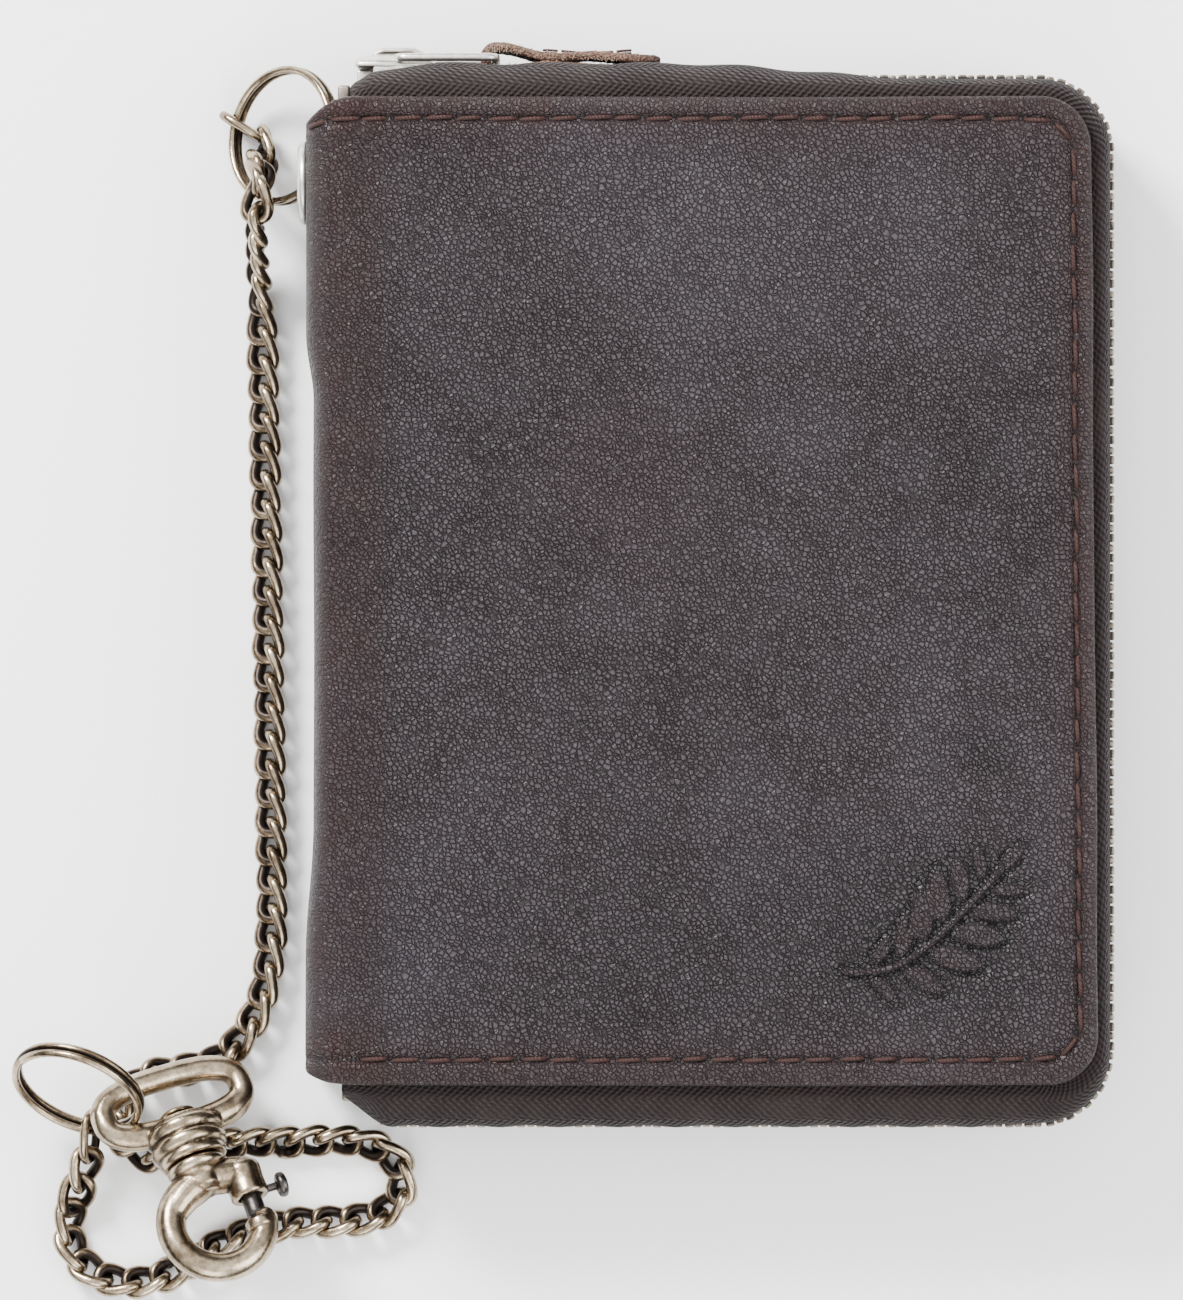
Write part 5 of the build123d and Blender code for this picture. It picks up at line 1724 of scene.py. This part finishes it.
def curb_link(c, xd, up, L=2.45, W=1.66, r=0.62, twist=-72, knurl=False, nseg=44, nring=12):
    """One curb link: a rounded loop, twisted along its length."""
    x = unit(xd)
    z = unit(up - x * (up @ x))
    y = np.cross(z, x)
    a = np.linspace(0, 2 * np.pi, nseg, endpoint=False)
    e = 2 / 2.6
    px = L * np.sign(np.cos(a)) * np.abs(np.cos(a)) ** e
    py = W * np.sign(np.sin(a)) * np.abs(np.sin(a)) ** e
    tw = np.radians(twist) * px / (2 * L)
    P = np.stack([px, py * np.cos(tw), py * np.sin(tw)], 1)
    P = resample(np.vstack([P, P[:1]]), n=nseg + 1)[:-1]
    v, f = tube(P, r, nring, closed=True, up0=None)
    rad = np.linalg.norm(v - np.repeat(P, nring, 0), axis=1)
    if knurl:
        # the weld is squeezed between toothed jaws
        m_ = np.exp(-((v[:, 0]) / 1.3) ** 2) * (v[:, 1] < 0)
        dd = v - np.repeat(P, nring, 0)
        v = v + dd * (0.16 * m_ * np.sign(np.sin(v[:, 0] * 2 * np.pi / 0.42)))[:, None]
    inner = np.repeat(P, nring, 0)
    dd = v - inner
    rec = np.clip(-(dd @ np.array([0, 0, 1.0])) * 0 - (dd * inner).sum(1) / (np.linalg.norm(inner, axis=1) * r + 1e-6), -1, 1)
    rec = np.clip(rec * 0.9 + 0.22, 0, 1) + 0.3 * np.clip(np.abs(inner[:, 0]) / L - 0.6, 0, 1)
    R = np.stack([x, y, z], 1)
    return v @ R.T + c, f, rec


CH_ROLL = 47.0
bc = Batch()
n_links = 67
pitch_c = (CHL - 2 * 2.45) / (n_links - 1)
for k in range(n_links):
    s = 2.45 + k * pitch_c
    p, q = cl_at(s - 1.7), cl_at(s + 1.7)
    c = cl_at(s) * 0.5 + (p + q) * 0.25
    d = unit(q - p)
    up = np.array([0, 0, 1.0])
    if abs(d[2]) > 0.75:
        up = unit(np.array([-1.0, 0, 0.4]))
    elif abs(d[2]) > 0.3:
        up = unit(np.array([-0.4, 0, 1.0]))
    roll = rot(d, math.radians(CH_ROLL + 5 * math.sin(k * 1.9)))
    v, f, rec = curb_link(c, d, roll @ up, r=0.69 + 0.012 * math.sin(k * 3.1), knurl=k in (45, 59))
    bc.add(v, f, recess=rec)
chain = recalc(bc.build("curb_chain", BRASS, "antique_brass"))
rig.blend(chain, "ring", "back", M((-53.6, 55.0, 3)), M((-53.6, 2.0, 3)))
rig.replaces(chain, "chain_run", "chain_under_snap", "chain_loop", "chain_tail")


def plain_link(name, c, xd, up, L, W, r, body, node):
    v, f, rec = curb_link(np.asarray(c, float), np.asarray(xd, float), np.asarray(up, float), L, W, r, twist=0, nseg=48, nring=16)
    b = Batch()
    b.add(v, f, recess=rec)
    o = recalc(b.build(name, BRASS, "antique_brass"))
    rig.ride(o, body)
    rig.replaces(o, node)
    return o


AE = unit((0.85, -0.53, 0.0))
el1 = plain_link("end_link_wallet", (-56.02, 57.26, 2.73), AE, np.cross(AE, [0, 0, 1.0]), 2.9, 2.0, 0.55, "ring", "chain_end_link")
el2 = plain_link("end_link_snap", P2 + A2 * 1.15, A2, T2, 2.9, 2.0, 0.55, "back", "chain_end_link_snap")

# ------------------------------------------------------------------ swivel eye, hook, bolt
D = unit((0.34689, -0.85973, 0.37488))
L_E = np.array((0.930, 0.264, -0.2545))
L_E = unit(L_E - D * (L_E @ D))
N_E = np.cross(L_E, D)
E0 = np.array((-63.2, -62.6, 9.4))


def hp(x, s, n=0.0):
    return E0 + L_E * x + D * s + N_E * n


def stadium(L, W, n=120):
    a = np.linspace(0, 2 * np.pi, n, endpoint=False)
    e = 2 / 2.7
    p = np.stack([L * np.sign(np.cos(a)) * np.abs(np.cos(a)) ** e, W * np.sign(np.sin(a)) * np.abs(np.sin(a)) ** e], 1)
    return resample(np.vstack([p, p[:1]]), n=n + 1)[:-1]


b_ = Batch()
st_ = stadium(8.6, 3.4)
path = np.array([hp(u, -3.4 + w) for u, w in st_])
rr_ = np.array([1.55 + 0.22 * math.exp(-((w - 3.4) / 1.2) ** 2) for u, w in st_])
v_, f_ = tube(path, rr_, 22, closed=True, up0=N_E)
b_.add(v_, f_)
# barrel: two broad round ridges and a collar, with a bore
pr = []
for s_ in np.linspace(-0.7, 4.75, 80):
    r_ = 3.85
    for c_, w_, h_ in ((0.75, 0.95, 0.95), (2.60, 0.95, 0.85), (4.15, 0.55, 0.32)):
        q_ = (s_ - c_) / w_
        if abs(q_) < 1:
            r_ = max(r_, 3.85 + h_ * math.sqrt(1 - q_ * q_) ** 0.8)
    pr.append((r_, s_))
pr = [(1.75, -0.7), (3.5, -0.7)] + pr + [(3.6, 4.78), (1.75, 4.78)]
pr = pr + [pr[0]]
v_, f_ = lathe(resample(np.array(pr), step=0.16), E0, D, 72)
b_.add(v_, f_)
eye = fuse(b_, "swivel_eye_metal", BRASS, "antique_brass", 0.16, 2, 2.0, 9)
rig.ride(eye, "back")
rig.replaces(eye, "swivel_eye")

b_ = Batch()
v_, f_ = lathe([(0.05, -2.3), (1.6, -2.2), (2.25, -1.85), (2.3, -1.5), (1.62, -1.32), (1.62, 4.8), (1.62, 4.9), (3.35, 4.9), (3.7, 5.25), (3.7, 5.8), (3.4, 6.2), (2.9, 6.5), (2.6, 7.0), (2.5, 8.3), (1.8, 9.0), (0.05, 9.2)], E0, D, 60)
b_.add(v_, f_)
# neck: sweeps from the collar into the loop, like the figure two
nk = np.array([hp(0.4, 5.6), hp(0.2, 6.6), hp(-0.9, 7.6), hp(-2.9, 8.4), hp(-4.6, 10.0)])
nk = resample(bspline2(nk, 12), n=30)
v_, f_ = tube(nk, np.linspace(2.55, 1.85, 30), 20, up0=N_E, round_ends=True)
b_.add(v_, f_)
nk2 = resample(bspline2([hp(0.0, 6.2), hp(1.4, 7.2), hp(3.4, 7.4), hp(4.9, 7.7)], 12), n=24)
v_, f_ = tube(nk2, np.linspace(2.3, 2.1, 24), 20, up0=N_E, round_ends=True)
b_.add(v_, f_)
ang_ = np.radians(np.linspace(12, 252, 90))
lp = np.array([hp(5.6 * math.cos(a), 13 - 0 + 5.6 * math.sin(a)) for a in ang_])
tr_ = np.interp(np.linspace(0, 1, 90), [0, 0.12, 0.5, 0.85, 1], [1.62, 1.7, 1.78, 1.85, 1.9])
v_, f_ = tube(lp, tr_, 24, up0=N_E, round_ends=True)
b_.add(v_, f_)
v_, f_ = lathe([(0.05, 6.35), (1.7, 6.45), (2.2, 6.8), (2.38, 7.4), (2.3, 9.0), (2.38, 10.7), (2.2, 11.05), (1.5, 11.05), (1.5, 9.4), (0.05, 9.35)], hp(4.9, 0), D, 44)
b_.add(v_, f_)
v_, f_ = lathe([(0.05, 13.72), (1.4, 13.75), (1.85, 14.1), (1.85, 15.0), (1.4, 15.45), (0.05, 15.5)], hp(4.9, 0), D, 36)
b_.add(v_, f_)
hook = fuse(b_, "snap_hook_metal", BRASS, "antique_brass", 0.15, 2, 2.0, 9)
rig.ride(hook, "hook")
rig.replaces(hook, "hook")

b_ = Batch()
v_, f_ = lathe([(0.05, 9.45), (1.15, 9.5), (1.25, 9.6), (1.25, 13.2), (0.95, 13.6), (0.05, 13.65)], hp(4.9, 0), D, 32)
b_.add(v_, f_)
v_, f_ = lathe([(0.05, 0.3), (0.5, 0.35), (0.5, 3.5), (0.05, 3.55)], hp(4.9, 10.5), L_E, 20)
b_.add(v_, f_)
v_, f_ = lathe([(0.05, 3.4), (0.9, 3.42), (1.42, 3.6), (1.55, 3.95), (1.5, 4.4), (1.1, 4.68), (0.05, 4.75)], hp(4.9, 10.5), L_E, 32)
b_.add(v_, f_)
bolt = fuse(b_, "bolt_metal", BLACK, "dark_steel", 0.09, 2, 2.0, 6)
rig.ride(bolt, "bolt")
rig.replaces(bolt, "bolt")
# spring: a real coil
t_ = np.linspace(0, 5.0 * 2 * np.pi, 160)
cp = np.array([hp(4.9, 7.45 + 1.75 * a / t_[-1]) + (math.cos(a) * L_E + math.sin(a) * N_E) * 1.0 for a in t_])
v_, f_ = tube(cp, 0.14, 8)
b_ = Batch()
b_.add(v_, f_, recess=0.2)
spr = recalc(b_.build("bolt_spring_wire", BLACK, "spring_steel"))
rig.ride(spr, "hook")
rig.squash(spr, "bolt_draw", axis=tuple(D), anchor=M(hp(4.9, 7.3)), keep=0.2)
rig.replaces(spr, "bolt_spring")

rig.cord(chain, exit=M(ROUTE[0]), length=CHL * MM, diameter=0.0043, far_end="fitting", stiffness="limp", lay="loose",
        path=[M(p) for p in CL], with_pieces=[el1, el2, ring1, ring2, eye, hook, bolt, spr])

# ------------------------------------------------------------------ boards keep their CAD shape
for node in ("back_board", "front_board"):
    o = bpy.data.objects[node]
    o.data.materials.clear()
    o.data.materials.append(BOARD.m)

b1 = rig.bounds()
with open("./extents.json", "w") as fh:
    json.dump({"cad": [list(BOX0[0]), list(BOX0[1])], "visual": [list(b1[0]), list(b1[1])]}, fh)
